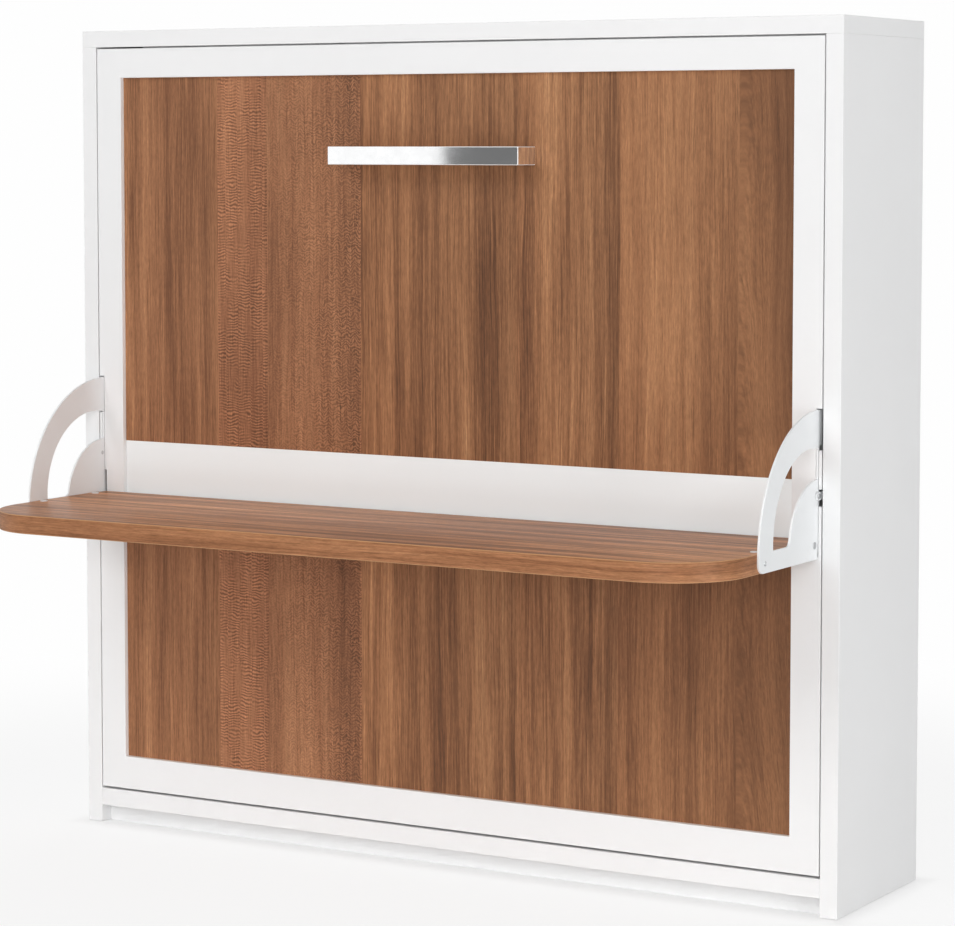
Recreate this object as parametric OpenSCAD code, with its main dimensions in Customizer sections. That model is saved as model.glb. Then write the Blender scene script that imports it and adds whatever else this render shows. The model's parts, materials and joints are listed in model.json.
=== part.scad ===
// Horizontal wall bed with a desk that stays level while the bed tilts down.
// Closed, the bed stands upright in a shallow cabinet behind a framed front and
// the desk juts out of that front on two pierced steel brackets.
// Axes: x along the width (0 in the middle), y from the front to the wall,
// z up from the floor. The origin is the middle of the footprint on the floor.

/* [Cabinet] */
// Overall width of the cabinet
cab_w = 2064; // [1900:1:2200]
// Overall height of the cabinet
cab_h = 1990; // [1900:1:2100]
// Depth from the front edges to the wall
cab_d = 449; // [430:1:520]
// Thickness of the two side boards
side_t = 42; // [30:1:50]
// Thickness of the top board
top_t = 40; // [30:1:50]
// Thickness of the thinner boards inside the cabinet
board_t = 18; // [15:1:22]
// Thickness of the back panel
back_t = 8; // [4:1:10]
// Height of the underside of the base rail above the floor
base_z = 44.5; // [30:0.5:80]
// Height of the base rail's face
base_h = 43.5; // [40:0.5:80]
// How far the plinth stands behind the front edges
plinth_in = 35; // [20:1:80]
// Height of the two rails that take the wall bolts
back_rail_h = 110; // [80:1:160]
// Length of the strip above the bed front that is left out at the left end
stop_short = 117; // [60:1:200]
// Height of the strip
stop_h = 12; // [8:1:12]
// Distance between the bumpers on the strip
bumper_step = 600; // [300:10:800]
// Height of the levelling feet
foot_h = 2; // [1:0.5:4]
// Distance between the wall bolts in a row
bolt_step = 560; // [400:10:600]
// Radius of the wall bolts' holes
bolt_r = 4.5; // [4:0.5:6]
// Width of the square plates under the wall bolts' heads
washer_w = 60; // [40:1:80]
// Thickness of those plates
washer_t = 3; // [2:0.5:4]

/* [Bed front] */
// Gap between the bed front and each cabinet side
gap_side = 3; // [2:0.5:4]
// Gap between the bed front and the top board
gap_top = 4; // [3:0.5:6]
// Gap between the bed front and the base rail
gap_foot = 5.5; // [5:0.5:8]
// Thickness of the front's frame boards
face_t = 24; // [20:1:28]
// Thickness of the panel behind the frame
lining_t = 6; // [4:1:8]
// How far the veneered panels lie behind the frame's face
inset_in = 12; // [6:1:15]
// Width of the two upright frame boards
stile_w = 72; // [50:1:110]
// Height of the upper frame board
rail_top_h = 72; // [50:1:110]
// Height of the lower frame board
rail_low_h = 82; // [50:1:120]
// Height of the band's lower edge above the floor
band_z = 780; // [740:1:800]
// Height of the band between the two veneered panels
band_h = 192; // [120:1:220]

/* [Bed box and mattress] */
// Free width beside the bed box for the levelling bars and lifters
slot_w = 24; // [24:1:30]
// Thickness of the bed box's boards
box_t = 12; // [10:1:16]
// Depth of the bed box behind the front
box_d = 190; // [170:1:200]
// How far the bed box ends below the top edge of the front
box_drop = 21; // [20:1:40]
// Play between the mattress and the bed box
mat_gap = 4; // [3:0.5:10]
// Thickness of the mattress
mat_t = 230; // [180:1:240]
// Radius of the mattress's corners
mat_r = 70; // [40:1:100]
// Depth of the beam and ledges that carry the slats
ledge_d = 36; // [30:1:40]
// Width of the ledges
ledge_w = 25; // [20:1:40]
// Width of the centre beam
beam_w = 60; // [40:1:80]
// Thickness of the slats
slat_t = 10; // [8:1:12]
// Width of the slats
slat_w = 68; // [50:1:90]
// Number of slats in each of the two rows
slats = 14; // [8:1:16]
// Width of the mattress straps
strap_w = 40; // [25:1:60]
// Thickness of the straps' webbing
strap_t = 1.5; // [1:0.5:2.5]
// Length of the straps' buckles
buckle_l = 50; // [35:1:70]
// Distance of each strap from the middle
strap_x = 480; // [300:1:700]

/* [Bed pivot] */
// Distance of the pivot behind the front
pivot_y = 45; // [40:0.5:50]
// Height of the pivot above the floor
pivot_z = 280; // [270:1:300]
// Radius of the pivot pins
pivot_r = 10; // [8:0.5:12]
// How far the pivot plates go into the cabinet's sides
embed = 4; // [3:0.5:6]
// Height of the pivot plates' ends beyond their pins
plate_end = 30; // [24:1:40]
// Depth of the pivot plates' edges beyond their pins
plate_side = 16; // [14:1:16]
// Running clearance round every turning pin
run = 0.05; // [0.03:0.01:0.1]
// Clearance between flat parts that pass each other
play = 1; // [0.5:0.1:1.5]

/* [Desk] */
// How far the desk's front edge stands before the bed front
desk_reach = 530; // [450:1:600]
// Height of the desk's top above the floor
desk_z = 844; // [840:1:860]
// Thickness of the desk board
desk_t = 44; // [36:1:48]
// Radius of the desk's two front corners
desk_r = 175; // [60:1:180]
// Width of the pocket for each hinge plate
pocket_w = 6.6; // [6:0.1:8]

/* [Desk brackets] */
// Thickness of the bracket plates
plate_t = 5; // [4:0.5:6]
// Outer radius of the brackets' arc
arc_r = 299; // [285:1:300]
// Radius of the brackets' opening
window_r = 191; // [180:1:200]
// How far the opening's centre lies above the arc's centre
window_rise = 26; // [16:1:30]
// How far the opening's centre stands before the bed front
window_out = 38; // [30:1:44]
// Radius of the inner lobe
lobe_r = 146; // [120:1:160]
// Radius of the fillet at the lobe's foot
foot_r = 14; // [8:1:20]
// Radius of the brackets' lower front corner
toe_r = 22; // [10:1:26]
// How far the arc's end reaches behind the bed front
arc_in = 20; // [10:1:25]
// Width of the notches in the bed front that the brackets swing into
notch_w = 19; // [19:0.5:24]

/* [Levelling bars and hinge plates] */
// Thickness of the levelling bars and hinge plates
bar_t = 4; // [3:0.5:4]
// Width of the levelling bars
bar_w = 20; // [16:1:24]
// Distance of the bars' pivots behind the bed's and the desk's own pivots
bar_dy = 10; // [6:1:14]
// Height of the bars' pivots above the bed's and the desk's own pivots
bar_dz = 108; // [90:1:114]
// Height of the hinge plates on the bed box
hinge_h = 120; // [80:1:160]
// Depth of the hinge plates on the bed box
hinge_d = 90; // [60:1:120]
// Distance of the desk's pivot before the bed front
hinge_y = 18; // [17.5:0.5:20]
// Depth of the desk's pivot below the desk's top
hinge_drop = 12; // [11:0.5:14]
// Radius of the desk's pivot pins
hinge_pin_r = 5; // [4:0.5:6]

/* [Lifters] */
// Distance of the lifter rollers from the bed's pivot
roller_arm = 165; // [150:1:175]
// Radius of the rollers
roller_r = 10; // [8:1:12]
// Radius of the gas springs' cylinders
gas_r = 9.5; // [8:0.5:10]
// Length of the gas springs' cylinders
gas_l = 340; // [320:1:420]
// Radius of the gas springs' rods
rod_r = 4; // [3:0.5:5]

/* [Handle] */
// Length of the handle
handle_l = 517; // [300:1:700]
// Height of the handle's flat bar
handle_h = 42.5; // [20:0.5:50]
// Thickness of the handle's flat bar
handle_t = 8; // [5:0.5:12]
// How far the handle stands out from the bed front's frame
handle_out = 68.5; // [50:1:80]
// Distance of the handle's middle below the top edge of the bed front
handle_drop = 262.5; // [200:0.5:400]

/* [Desk leg] */
// Distance of the leg's pivot before the bed front
leg_y = 330; // [280:1:380]
// Depth of the leg's pivot below the desk
leg_drop = 14; // [13.5:0.5:18]
// Distance of each leg arm from the middle
leg_x = 700; // [500:1:850]
// Radius of the leg's tube
leg_r = 10; // [8:0.5:11]
// Radius of the rubber sleeves
sleeve_r = 13; // [11:0.5:13.5]

/* [View] */
// Which sub-part to draw

/* [Hidden] */
$fn = 64;
eps = 0.01;
y_face = (desk_reach - cab_d) / 2;      // front plane in the part's frame
hw = cab_w / 2;
in_w = hw - side_t;                     // half the cabinet's inner width
z_top = cab_h - top_t;
rail_top = base_z + base_h;

bed_w = in_w - gap_side;                // half widths and levels of the bed
bed_z0 = rail_top + gap_foot;
bed_z1 = z_top - gap_top;
rear = face_t + lining_t;               // back of the front's lining
inset_w = bed_w - stile_w;
inset_t = face_t - inset_in;
low_z0 = bed_z0 + rail_low_h;
up_z0 = band_z + band_h;
up_z1 = bed_z1 - rail_top_h;
handle_z = bed_z1 - handle_drop;

box_w = in_w - slot_w;                  // half width of the bed box, outside
box_z0 = bed_z0;
box_z1 = bed_z1 - box_drop;
box_y1 = rear + box_d;
fit = 0.3;                              // between soft and hard parts
mat_w = box_w - box_t - mat_gap;
mat_z0 = box_z0 + box_t + mat_gap;
mat_z1 = box_z1 - box_t - mat_gap;
slat_y = rear + ledge_d;
mat_y = slat_y + slat_t + fit;
mid_z = (mat_z0 + mat_z1) / 2;

// layers beside the bed box, from the box outwards
hinge_x = box_w + 3 * play;             // hinge plates, on 3 mm packers
arm_x = hinge_x + bar_t + play;         // bracket plates
bar_x = arm_x + plate_t + play;         // levelling bars
edge_play = 0.5;                        // round the pivot plates in their pockets

hub_y = -hinge_y;                       // desk pivot
hub_z = desk_z - hinge_drop;
eye_r = bar_w / 2;
arc_z = hub_z - 2;                      // centre of the brackets' arc
desk_back = hub_y + sqrt(pow(hinge_y - play, 2) - pow(hinge_drop, 2));
notch_z0 = desk_z - desk_t + 4;
notch_z1 = arc_z + arc_r + 3;
swing = 90;                             // travel of the bed, degrees

// lifters: the rollers go from 45 degrees below to 45 degrees above the pivot
roll_off = roller_arm * sin(swing / 2);
roll_y = pivot_y + roll_off;
roll_z = pivot_z - roll_off;
lift_y = pivot_y + (roller_arm + roll_off) / 2;
lift_x = (box_w + in_w) / 2;
lift_stroke = 2 * roll_off;
slack = 0.032 * roller_arm + play / 2;  // the yokes' play round the rollers
gas_z0 = roll_z + lift_stroke + roller_r + 45;

// room under the desk when the bed is down
open_hub = pivot_z - (pivot_y + hinge_y);
leg_z = desk_z - desk_t - leg_drop;
leg_reach = open_hub - (hub_z - leg_z) - sleeve_r - play / 2;

white = [0.95, 0.95, 0.95];
wood = [0.60, 0.43, 0.32];
raw = [0.86, 0.74, 0.56];
steel = [0.72, 0.73, 0.75];
bright = [0.86, 0.87, 0.89];
dark = [0.16, 0.16, 0.17];
cloth = [0.93, 0.92, 0.90];
webbing = [0.30, 0.31, 0.33];

// ---------------------------------------------------------------- helpers

// everything is laid out from the front plane, then set in the part's frame
module set_in(c) color(c) translate([0, y_face, 0]) children();

// a box from its low corner to its high corner
module span(a, b) translate(a) cube(b - a);

// a profile in y and z, from x along +x by t
module yz(x, t) translate([x, 0, 0]) rotate([90, 0, 90])
    linear_extrude(t) children();

// a round bar along +x at y, z
module bar(x, t, y, z, r) yz(x, t) translate([y, z]) circle(r);

// its child on the right and its mirror image on the left
module both() { children(); mirror([1, 0, 0]) children(); }
module left() mirror([1, 0, 0]) children();

// a strap between two points of a profile, round at both ends
module tie(a, b, r) {
    d = b - a;
    n = norm(d);
    translate(a) circle(r);
    translate(b) circle(r);
    translate(a) rotate(atan2(d[1], d[0])) translate([0, -r]) square([n, 2 * r]);
}

// ---------------------------------------------------------------- cabinet

// the pivot plate's outline less m all round, from x0 to its back
module pivot_plate(x0, m) span(
    [x0, pivot_y - plate_side + m, pivot_z - plate_end + m],
    [in_w + embed, pivot_y + bar_dy + 2.5 * plate_side - m,
        pivot_z + bar_dz + plate_end - m]);

// a side board, with the pocket for its pivot plate
module side_board() difference() {
    span([in_w, 0, foot_h], [hw, cab_d, z_top]);
    pivot_plate(in_w - 1, 0);
    // rebate for the back panel
    span([in_w - 1, cab_d - back_t, foot_h - 1], [in_w + 10, cab_d + 1, z_top + 1]);
}

module cabinet_side_left() set_in(white) left() side_board();
module cabinet_side_right() set_in(white) side_board();

module top_board() set_in(white) difference() {
    span([-hw, 0, z_top], [hw, cab_d, cab_h]);
    span([-in_w - 10, cab_d - back_t, z_top - 1], [in_w + 10, cab_d + 1, z_top + 10]);
}

module base_rail() set_in(white)
    span([-in_w, 0, base_z], [in_w, board_t, rail_top]);

module plinth_board() set_in(white)
    span([-in_w, plinth_in, 0], [in_w, plinth_in + board_t, rail_top - 26]);

// ties the plinth, the base rail and the two sides together
module floor_board() set_in(white)
    span([-in_w, board_t, rail_top - 26], [in_w, cab_d - back_t, rail_top - 8]);

module bolt_bores(z) for (i = [-1.5 : 1.5])
    translate([i * bolt_step, cab_d + 1, z]) rotate([90, 0, 0])
        cylinder(r = bolt_r, h = back_t + board_t + 2);
upper_bolt_z = z_top - 30 - back_rail_h / 2;
lower_bolt_z = rail_top + 60 + back_rail_h / 2;

module back_panel() set_in(white) difference() {
    span([-in_w - 9.5, cab_d - back_t, foot_h], [in_w + 9.5, cab_d, z_top + 9.5]);
    bolt_bores(upper_bolt_z);
    bolt_bores(lower_bolt_z);
}

module back_rail(z) difference() {
    span([-in_w, cab_d - back_t - board_t, z - back_rail_h / 2],
        [in_w, cab_d - back_t, z + back_rail_h / 2]);
    bolt_bores(z);
}
module upper_back_rail() set_in(white) back_rail(upper_bolt_z);
module lower_back_rail() set_in(white) back_rail(lower_bolt_z);

// closes the gap above the bed front and stops the bed when it shuts
stop_y = rear + 2;
module stop_strip() set_in(white)
    span([stop_short - bed_w, stop_y, z_top - stop_h],
        [in_w, stop_y + board_t, z_top]);

module stop_bumpers() set_in(dark) for (i = [-1 : 1])
    translate([i * bumper_step, stop_y, z_top - stop_h / 2]) rotate([90, 0, 0])
        cylinder(r = 3, h = stop_y - rear);

module levelling_feet() set_in(dark) both() for (y = [50, cab_d - 50])
    translate([hw - side_t / 2, y, 0]) cylinder(r = 14, h = foot_h);

// steel plates let into the sides that hold the pins of the bed and the bars
module cabinet_pivot_plates() set_in(steel) both() difference() {
    pivot_plate(in_w, edge_play);
    bar(in_w - 1, embed + 2, pivot_y, pivot_z, pivot_r);
    bar(in_w - 1, embed + 2, pivot_y + bar_dy, pivot_z + bar_dz, anchor_r);
}
anchor_r = 6;

module main_pivot_pins() set_in(bright) both() {
    bar(box_w - box_t + 1, in_w + embed - box_w + box_t - 1, pivot_y, pivot_z,
        pivot_r);
    // collar between the bed's plate and the cabinet
    bar(box_w + plate_t + play, in_w - box_w - plate_t - play, pivot_y, pivot_z,
        pivot_r + 3.5);
}

module bar_anchor_pins() set_in(bright) both() {
    bar(bar_x - 2, in_w + embed - bar_x + 2, pivot_y + bar_dy, pivot_z + bar_dz,
        anchor_r);
    // shoulder behind the bar and head before it
    bar(bar_x + bar_t + play / 2, in_w - bar_x - bar_t - play / 2,
        pivot_y + bar_dy, pivot_z + bar_dz, anchor_r + 2);
    bar(bar_x - 2, 2 - play / 2, pivot_y + bar_dy, pivot_z + bar_dz, anchor_r + 3);
}

// washers for the wall bolts, on the face of the upper back rail
module wall_fixing_plates() set_in(steel) for (i = [-1.5 : 1.5]) difference() {
    span([i * bolt_step - washer_w / 2, cab_d - back_t - board_t - washer_t,
            upper_bolt_z - washer_w / 2],
        [i * bolt_step + washer_w / 2, cab_d - back_t - board_t,
            upper_bolt_z + washer_w / 2]);
    bolt_bores(upper_bolt_z);
    translate([i * bolt_step, cab_d, upper_bolt_z]) rotate([90, 0, 0])
        cylinder(r = bolt_r, h = back_t + board_t + washer_t + 2);
}

// ---------------------------------------------------------------- lifters

// an upright gas spring: the cylinder hangs on the side, the rod bears on the
// bed's roller through a slotted yoke
module cylinder_body() difference() {
    union() {
        translate([lift_x, lift_y, gas_z0]) cylinder(r = gas_r, h = gas_l);
        translate([lift_x, lift_y, gas_z0 + gas_l]) cylinder(r = rod_r, h = 12);
    }
    translate([lift_x, lift_y, gas_z0 - 1])
        cylinder(r = rod_r + run, h = gas_l - 20);
}
module gas_cylinder_left() set_in(dark) left() cylinder_body();
module gas_cylinder_right() set_in(dark) cylinder_body();

module cylinder_clamps() set_in(steel) both()
    for (z = [gas_z0 + 30, gas_z0 + gas_l - 70]) difference() {
        span([lift_x - gas_r - 1.5, lift_y - gas_r - 4, z],
            [in_w, lift_y + gas_r + 4, z + 30]);
        translate([lift_x, lift_y, z - 1]) cylinder(r = gas_r, h = 32);
    }

yoke_t = 4;
module lifter_rod() {
    slot = roller_r + slack;
    y_lo = roll_y - slot;
    y_hi = pivot_y + roller_arm + slot;
    difference() {
        yz(lift_x - yoke_t / 2, yoke_t) difference() {
            tie([roll_y, roll_z], [pivot_y + roller_arm, roll_z], slot + 8);
            tie([roll_y - play, roll_z], [pivot_y + roller_arm + play, roll_z], slot);
        }
    }
    z0 = roll_z + slot + 4;
    translate([lift_x, lift_y, z0]) cylinder(r = rod_r + 3, h = 22);
    translate([lift_x, lift_y, z0])
        cylinder(r = rod_r, h = gas_z0 + 60 - z0);
}
module lifter_rod_left() set_in(bright) left() lifter_rod();
module lifter_rod_right() set_in(bright) lifter_rod();

// ---------------------------------------------------------------- bed front

// the corner of the lining that the desk bracket and its bar swing through
module notch() both() span([bed_w - notch_w, -1, notch_z0],
    [bed_w + 1, rear + 1, notch_z1]);

// a stile keeps a cheek beside the bracket, open only for the pin of the
// levelling bar and beside the end of the arc
cheek_x = arm_x + plate_t + play;
slim_z = hub_z + hinge_h / 2 + 5 * play;    // over it only the bracket passes
pin_z0 = hub_z - eye_r - play
    + sqrt(pow(norm([bar_dy, bar_dz]), 2) - pow(face_t + eye_r - hub_y, 2));
pin_z1 = hub_z + bar_dz + eye_r + 4 * play;
end_z0 = arc_z + window_rise - 3 * play
    + sqrt(pow(window_r, 2) - pow(window_out, 2));
module stile_slots() {
    span([bed_w - notch_w, -1, notch_z0], [cheek_x, face_t + 1, slim_z]);
    span([arm_x - play, -1, slim_z - 1], [cheek_x, face_t + 1, notch_z1]);
    for (z = [[pin_z0, pin_z1], [end_z0, notch_z1]])
        span([cheek_x - 1, -1, z[0]], [bed_w + 1, face_t + 1, z[1]]);
}

module stile() difference() {
    span([inset_w, 0, bed_z0], [bed_w, face_t, bed_z1]);
    stile_slots();
}
module front_stile_left() set_in(white) left() stile();
module front_stile_right() set_in(white) stile();

module front_top_rail() set_in(white)
    span([-inset_w, 0, up_z1], [inset_w, face_t, bed_z1]);
module front_bottom_rail() set_in(white)
    span([-inset_w, 0, bed_z0], [inset_w, face_t, low_z0]);
module upper_inset() set_in(wood) difference() {
    span([-inset_w, inset_in, up_z0], [inset_w, face_t, up_z1]);
    handle_bores();
}
module lower_inset() set_in(wood)
    span([-inset_w, inset_in, low_z0], [inset_w, face_t, band_z]);
module middle_band() set_in(white)
    span([-inset_w, inset_in, band_z], [inset_w, face_t, up_z0]);

module front_lining() set_in(white) difference() {
    span([-bed_w, face_t, bed_z0], [bed_w, rear, bed_z1]);
    notch();
    handle_bores();
}

// ---------------------------------------------------------------- bed box

module box_side() difference() {
    span([box_w - box_t, rear, box_z0], [box_w, box_y1, box_z1]);
    bar(box_w - box_t - 1, box_t + 2, pivot_y, pivot_z, pivot_r + run);
}
module box_side_left() set_in(white) left() box_side();
module box_side_right() set_in(white) box_side();

module box_end(z) span([box_t - box_w, rear, z], [box_w - box_t, box_y1, z + box_t]);
module box_head_board() set_in(white) box_end(box_z1 - box_t);
module box_foot_board() set_in(white) box_end(box_z0);

module slat_ledges() set_in(raw) for (z = [box_z0 + box_t, box_z1 - box_t - ledge_w])
    span([-mat_w, rear, z], [mat_w, slat_y, z + ledge_w]);

module centre_beam() set_in(steel) difference() {
    span([box_t - box_w, rear, mid_z - beam_w / 2],
        [box_w - box_t, slat_y, mid_z + beam_w / 2]);
    span([box_t - box_w - 1, rear + 2, mid_z - beam_w / 2 + 2],
        [box_w - box_t + 1, slat_y - 2, mid_z + beam_w / 2 - 2]);
}

slat_step = (2 * mat_w - 60) / slats;
module slats_set() set_in(raw) for (i = [0 : slats - 1], s = [-1, 1]) {
    x = (i - (slats - 1) / 2) * slat_step;
    z0 = s < 0 ? mat_z0 + 1 : mid_z + 2;
    z1 = s < 0 ? mid_z - 2 : mat_z1 - 1;
    span([x - slat_w / 2, slat_y, z0], [x + slat_w / 2, slat_y + slat_t, z1]);
}

// a quilted mattress: crowned on both faces, with a piped border
module mattress() set_in(cloth) {
    crown = 7;
    edge = 22;
    w = mat_w;
    h = (mat_z1 - mat_z0) / 2;
    translate([0, mat_y, mid_z]) rotate([-90, 0, 0]) {
        // border between the two faces, drawn in a little at its middle
        for (part = [[edge, mat_t / 2, 0, 3], [mat_t / 2, mat_t - edge, 3, 0]])
            hull() {
                slab(w - part[2], h - part[2], part[0], mat_r);
                slab(w - part[3], h - part[3], part[1] - eps, mat_r);
            }
        // the faces roll over their edges and rise to the crown
        for (side = [0, 1]) hull() {
            y = side == 0 ? edge : mat_t - edge;
            s = side == 0 ? -1 : 1;
            slab(w, h, y - (side == 0 ? 0 : eps), mat_r);
            slab(w - 6, h - 6, y + s * 10 - eps, mat_r);
            slab(w - 20, h - 20, y + s * (edge - crown) - eps, mat_r);
            slab(w - 260, h - 260, side == 0 ? 0 : mat_t - eps, mat_r);
        }
    }
}
module slab(w, h, y, r) translate([0, 0, y]) linear_extrude(eps) hull()
    for (x = [-1, 1], z = [-1, 1]) translate([x * (w - r), z * (h - r)])
        circle(r, $fn = 24);

strap_y = mat_y + mat_t + fit;
// webbing from board to board over the mattress, riveted to the box inside
module mattress_straps() set_in(webbing) for (x = [-strap_x, strap_x]) {
    span([x - strap_w / 2, box_y1 - 1.5 * strap_w, mat_z0 - mat_gap],
        [x + strap_w / 2, strap_y + strap_t, mat_z0 - mat_gap + strap_t]);
    span([x - strap_w / 2, box_y1 - 1.5 * strap_w, mat_z1 + mat_gap - strap_t],
        [x + strap_w / 2, strap_y + strap_t, mat_z1 + mat_gap]);
    span([x - strap_w / 2, strap_y, mat_z0 - mat_gap + strap_t],
        [x + strap_w / 2, strap_y + strap_t, mat_z1 + mat_gap - strap_t]);
}

module strap_buckles() set_in(dark) for (x = [-strap_x, strap_x])
    span([x - strap_w * 0.65, strap_y + strap_t, mid_z - buckle_l / 2],
        [x + strap_w * 0.65, strap_y + strap_t + buckle_l / 7, mid_z + buckle_l / 2]);

module bed_pivot_plates() set_in(steel) both() difference() {
    // an upright limb up the box and a foot out to the roller
    yz(box_w, plate_t) translate([rear + play, roll_z - 2 * roller_r]) {
        square([hinge_d, pivot_z - roll_z + hinge_h]);
        square([roll_y + 2 * roller_r - rear - play, pivot_z - roll_z - plate_end]);
    }
    bar(box_w - 1, plate_t + 2, pivot_y, pivot_z, pivot_r + run);
}

// plates on the bed box that reach through the notches to the desk's pivot
module desk_hinge_plates() set_in(white) both() {
    difference() {
        yz(hinge_x, bar_t) {
            tie([hub_y, hub_z], [rear + hinge_d / 2, hub_z], eye_r - 2);
            translate([hub_y, hub_z]) circle(eye_r);
            translate([rear + bar_t, hub_z - hinge_h / 2]) square([hinge_d, hinge_h]);
        }
        bar(hinge_x - 1, bar_t + 2, hub_y, hub_z, hinge_pin_r + run);
    }
    // packer between the plate and the box
    span([box_w, rear + bar_t, hub_z - hinge_h / 2],
        [hinge_x, rear + bar_t + hinge_d, hub_z + hinge_h / 2]);
}

// rollers on studs at the pivot plates' tails
module lifter_rollers() set_in(bright) both() {
    bar(box_w + plate_t, in_w - box_w - plate_t - 2, roll_y, roll_z, 5);
    bar(lift_x - 4, 8, roll_y, roll_z, roller_r);
}

// ---------------------------------------------------------------- handle

module handle_bores() for (s = [-1, 1])
    translate([s * (handle_l / 2 - handle_t / 2 - 8), inset_in - 1, handle_z])
        rotate([-90, 0, 0]) cylinder(r = 2.6, h = rear);

// a flat bar bent to a bow, with a foot turned in at each end
module pull_handle() set_in(bright) difference() {
    union() {
        span([-handle_l / 2, -handle_out, handle_z - handle_h / 2],
            [handle_l / 2, handle_t - handle_out, handle_z + handle_h / 2]);
        both() {
            span([handle_l / 2 - handle_t, -handle_out, handle_z - handle_h / 2],
                [handle_l / 2, inset_in, handle_z + handle_h / 2]);
            span([handle_l / 2 - handle_t - 24, inset_in - 5, handle_z - handle_h / 2],
                [handle_l / 2, inset_in, handle_z + handle_h / 2]);
        }
    }
    for (s = [-1, 1]) translate([s * (handle_l / 2 - handle_t / 2 - 8),
            inset_in - 5 - 1, handle_z]) rotate([-90, 0, 0])
        cylinder(r = 2.5, h = 7);
}

// screws from inside the bed into the handle's feet
module handle_screws() set_in(steel) for (s = [-1, 1])
    translate([s * (handle_l / 2 - handle_t / 2 - 8), 0, handle_z])
        rotate([-90, 0, 0]) {
            translate([0, 0, inset_in - 4]) cylinder(r = 2.5, h = rear - inset_in + 4);
            translate([0, 0, rear]) cylinder(r = 5, h = 3);
        }

// ---------------------------------------------------------------- desk

desk_hw = arm_x;                        // the board ends on the brackets
module desk_board() set_in(wood) difference() {
    translate([0, 0, desk_z - desk_t]) linear_extrude(desk_t) {
        translate([-desk_hw, -desk_reach + desk_r])
            square([2 * desk_hw, desk_reach - desk_r + desk_back]);
        translate([-desk_hw + desk_r, -desk_reach])
            square([2 * (desk_hw - desk_r), desk_r + 1]);
        for (s = [-1, 1]) translate([s * (desk_hw - desk_r), desk_r - desk_reach])
            circle(desk_r);
    }
    // pockets for the hinge plates
    both() span([desk_hw - pocket_w, hub_y - eye_r - 1.5, desk_z - desk_t - 1],
        [desk_hw + 1, desk_back + 1, desk_z + 1]);
    both() {
        bar(desk_hw - 26, 27, screw_y, screw_z, 3);
        for (y = cap_y) translate([desk_hw - cap_in, y, desk_z - 13])
            cylinder(r = 7.5, h = 20);
    }
}
screw_y = -269;
screw_z = desk_z - desk_t / 2 - 1;
cap_in = 20;
cap_y = [-270, -65];

// the bracket's outline: a quarter arc over an inner lobe
module bracket_plate() {
    toe_z = desk_z - desk_t + toe_r;
    toe_y = -sqrt(pow(arc_r - toe_r, 2) - pow(arc_z - toe_z, 2));
    yz(arm_x, plate_t) difference() {
        union() {
            bracket_arc(toe_y);
            translate([toe_y, toe_z]) circle(toe_r);
        }
        translate([hub_y, hub_z]) circle(hinge_pin_r);
        translate([hub_y + bar_dy, hub_z + bar_dz]) circle(hinge_pin_r);
        translate([screw_y, screw_z]) circle(3);
    }
}

// the arc with its window, cut off square at the toe
module bracket_arc(toe_y) difference() {
    translate([0, arc_z]) circle(arc_r);
    // behind the front plane only a strip and the end of the arc go on
    translate([-0.3, arc_z - arc_r - 1]) square([arc_r + 2, arc_r + 1 - 14]);
    translate([5.5, arc_z - 15]) square([arc_r, 220 + 15]);
    translate([arc_in, arc_z]) square([arc_r, arc_r + 1]);
    // under the desk
    translate([-arc_r - 1, arc_z - arc_r - 1])
        square([2 * arc_r + 2, arc_r + 1 - (arc_z - desk_z + desk_t)]);
    translate([-arc_r - 1, desk_z - desk_t - 1])
        square([arc_r + 1 + toe_y, toe_r + 1]);
    // the window, all but the lobe
    difference() {
        intersection() {
            translate([-window_out, arc_z + window_rise]) circle(window_r);
            translate([-arc_r, desk_z]) square([arc_r - 0.3, arc_r]);
        }
        translate([0, arc_z]) circle(lobe_r);
        lobe_foot();
    }
}
// the fillet that runs the lobe out along the desk's top
module lobe_foot() {
    foot_z = desk_z + foot_r;
    foot_y = -sqrt(pow(lobe_r + foot_r, 2) - pow(foot_z - arc_z, 2));
    difference() {
        polygon([[0, arc_z], [foot_y, foot_z], [foot_y, desk_z - 1], [0, desk_z - 1]]);
        translate([foot_y, foot_z]) circle(foot_r);
    }
}
module bracket_left() set_in(white) left() bracket_plate();
module bracket_right() set_in(white) bracket_plate();

// screws through the brackets into the ends of the desk board
module bracket_screws() set_in(steel) both() {
    bar(arm_x - 25, plate_t + 25, screw_y, screw_z, 3);
    bar(arm_x + plate_t, 2, screw_y, screw_z, 6);
}

// round caps over the dowel fittings in the desk's top
module dowel_caps() set_in(white) both() for (y = cap_y)
    translate([desk_hw - cap_in, y, desk_z - 12]) {
        cylinder(r = 7.5, h = 12);
        translate([0, 0, 12]) cylinder(r = 9, h = 0.8);
    }

module desk_hinge_pins() set_in(bright) both() {
    bar(hinge_x - play, arm_x + plate_t - hinge_x + play, hub_y, hub_z, hinge_pin_r);
    bar(arm_x + plate_t, 1.5, hub_y, hub_z, hinge_pin_r + 3);
}

module bar_pins() set_in(bright) both() {
    y = hub_y + bar_dy;
    z = hub_z + bar_dz;
    bar(arm_x, bar_x + bar_t + play / 2 - arm_x, y, z, hinge_pin_r);
    bar(bar_x + bar_t + play / 2, 1.5, y, z, hinge_pin_r + 2);
}

// ---------------------------------------------------------------- levelling

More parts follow.
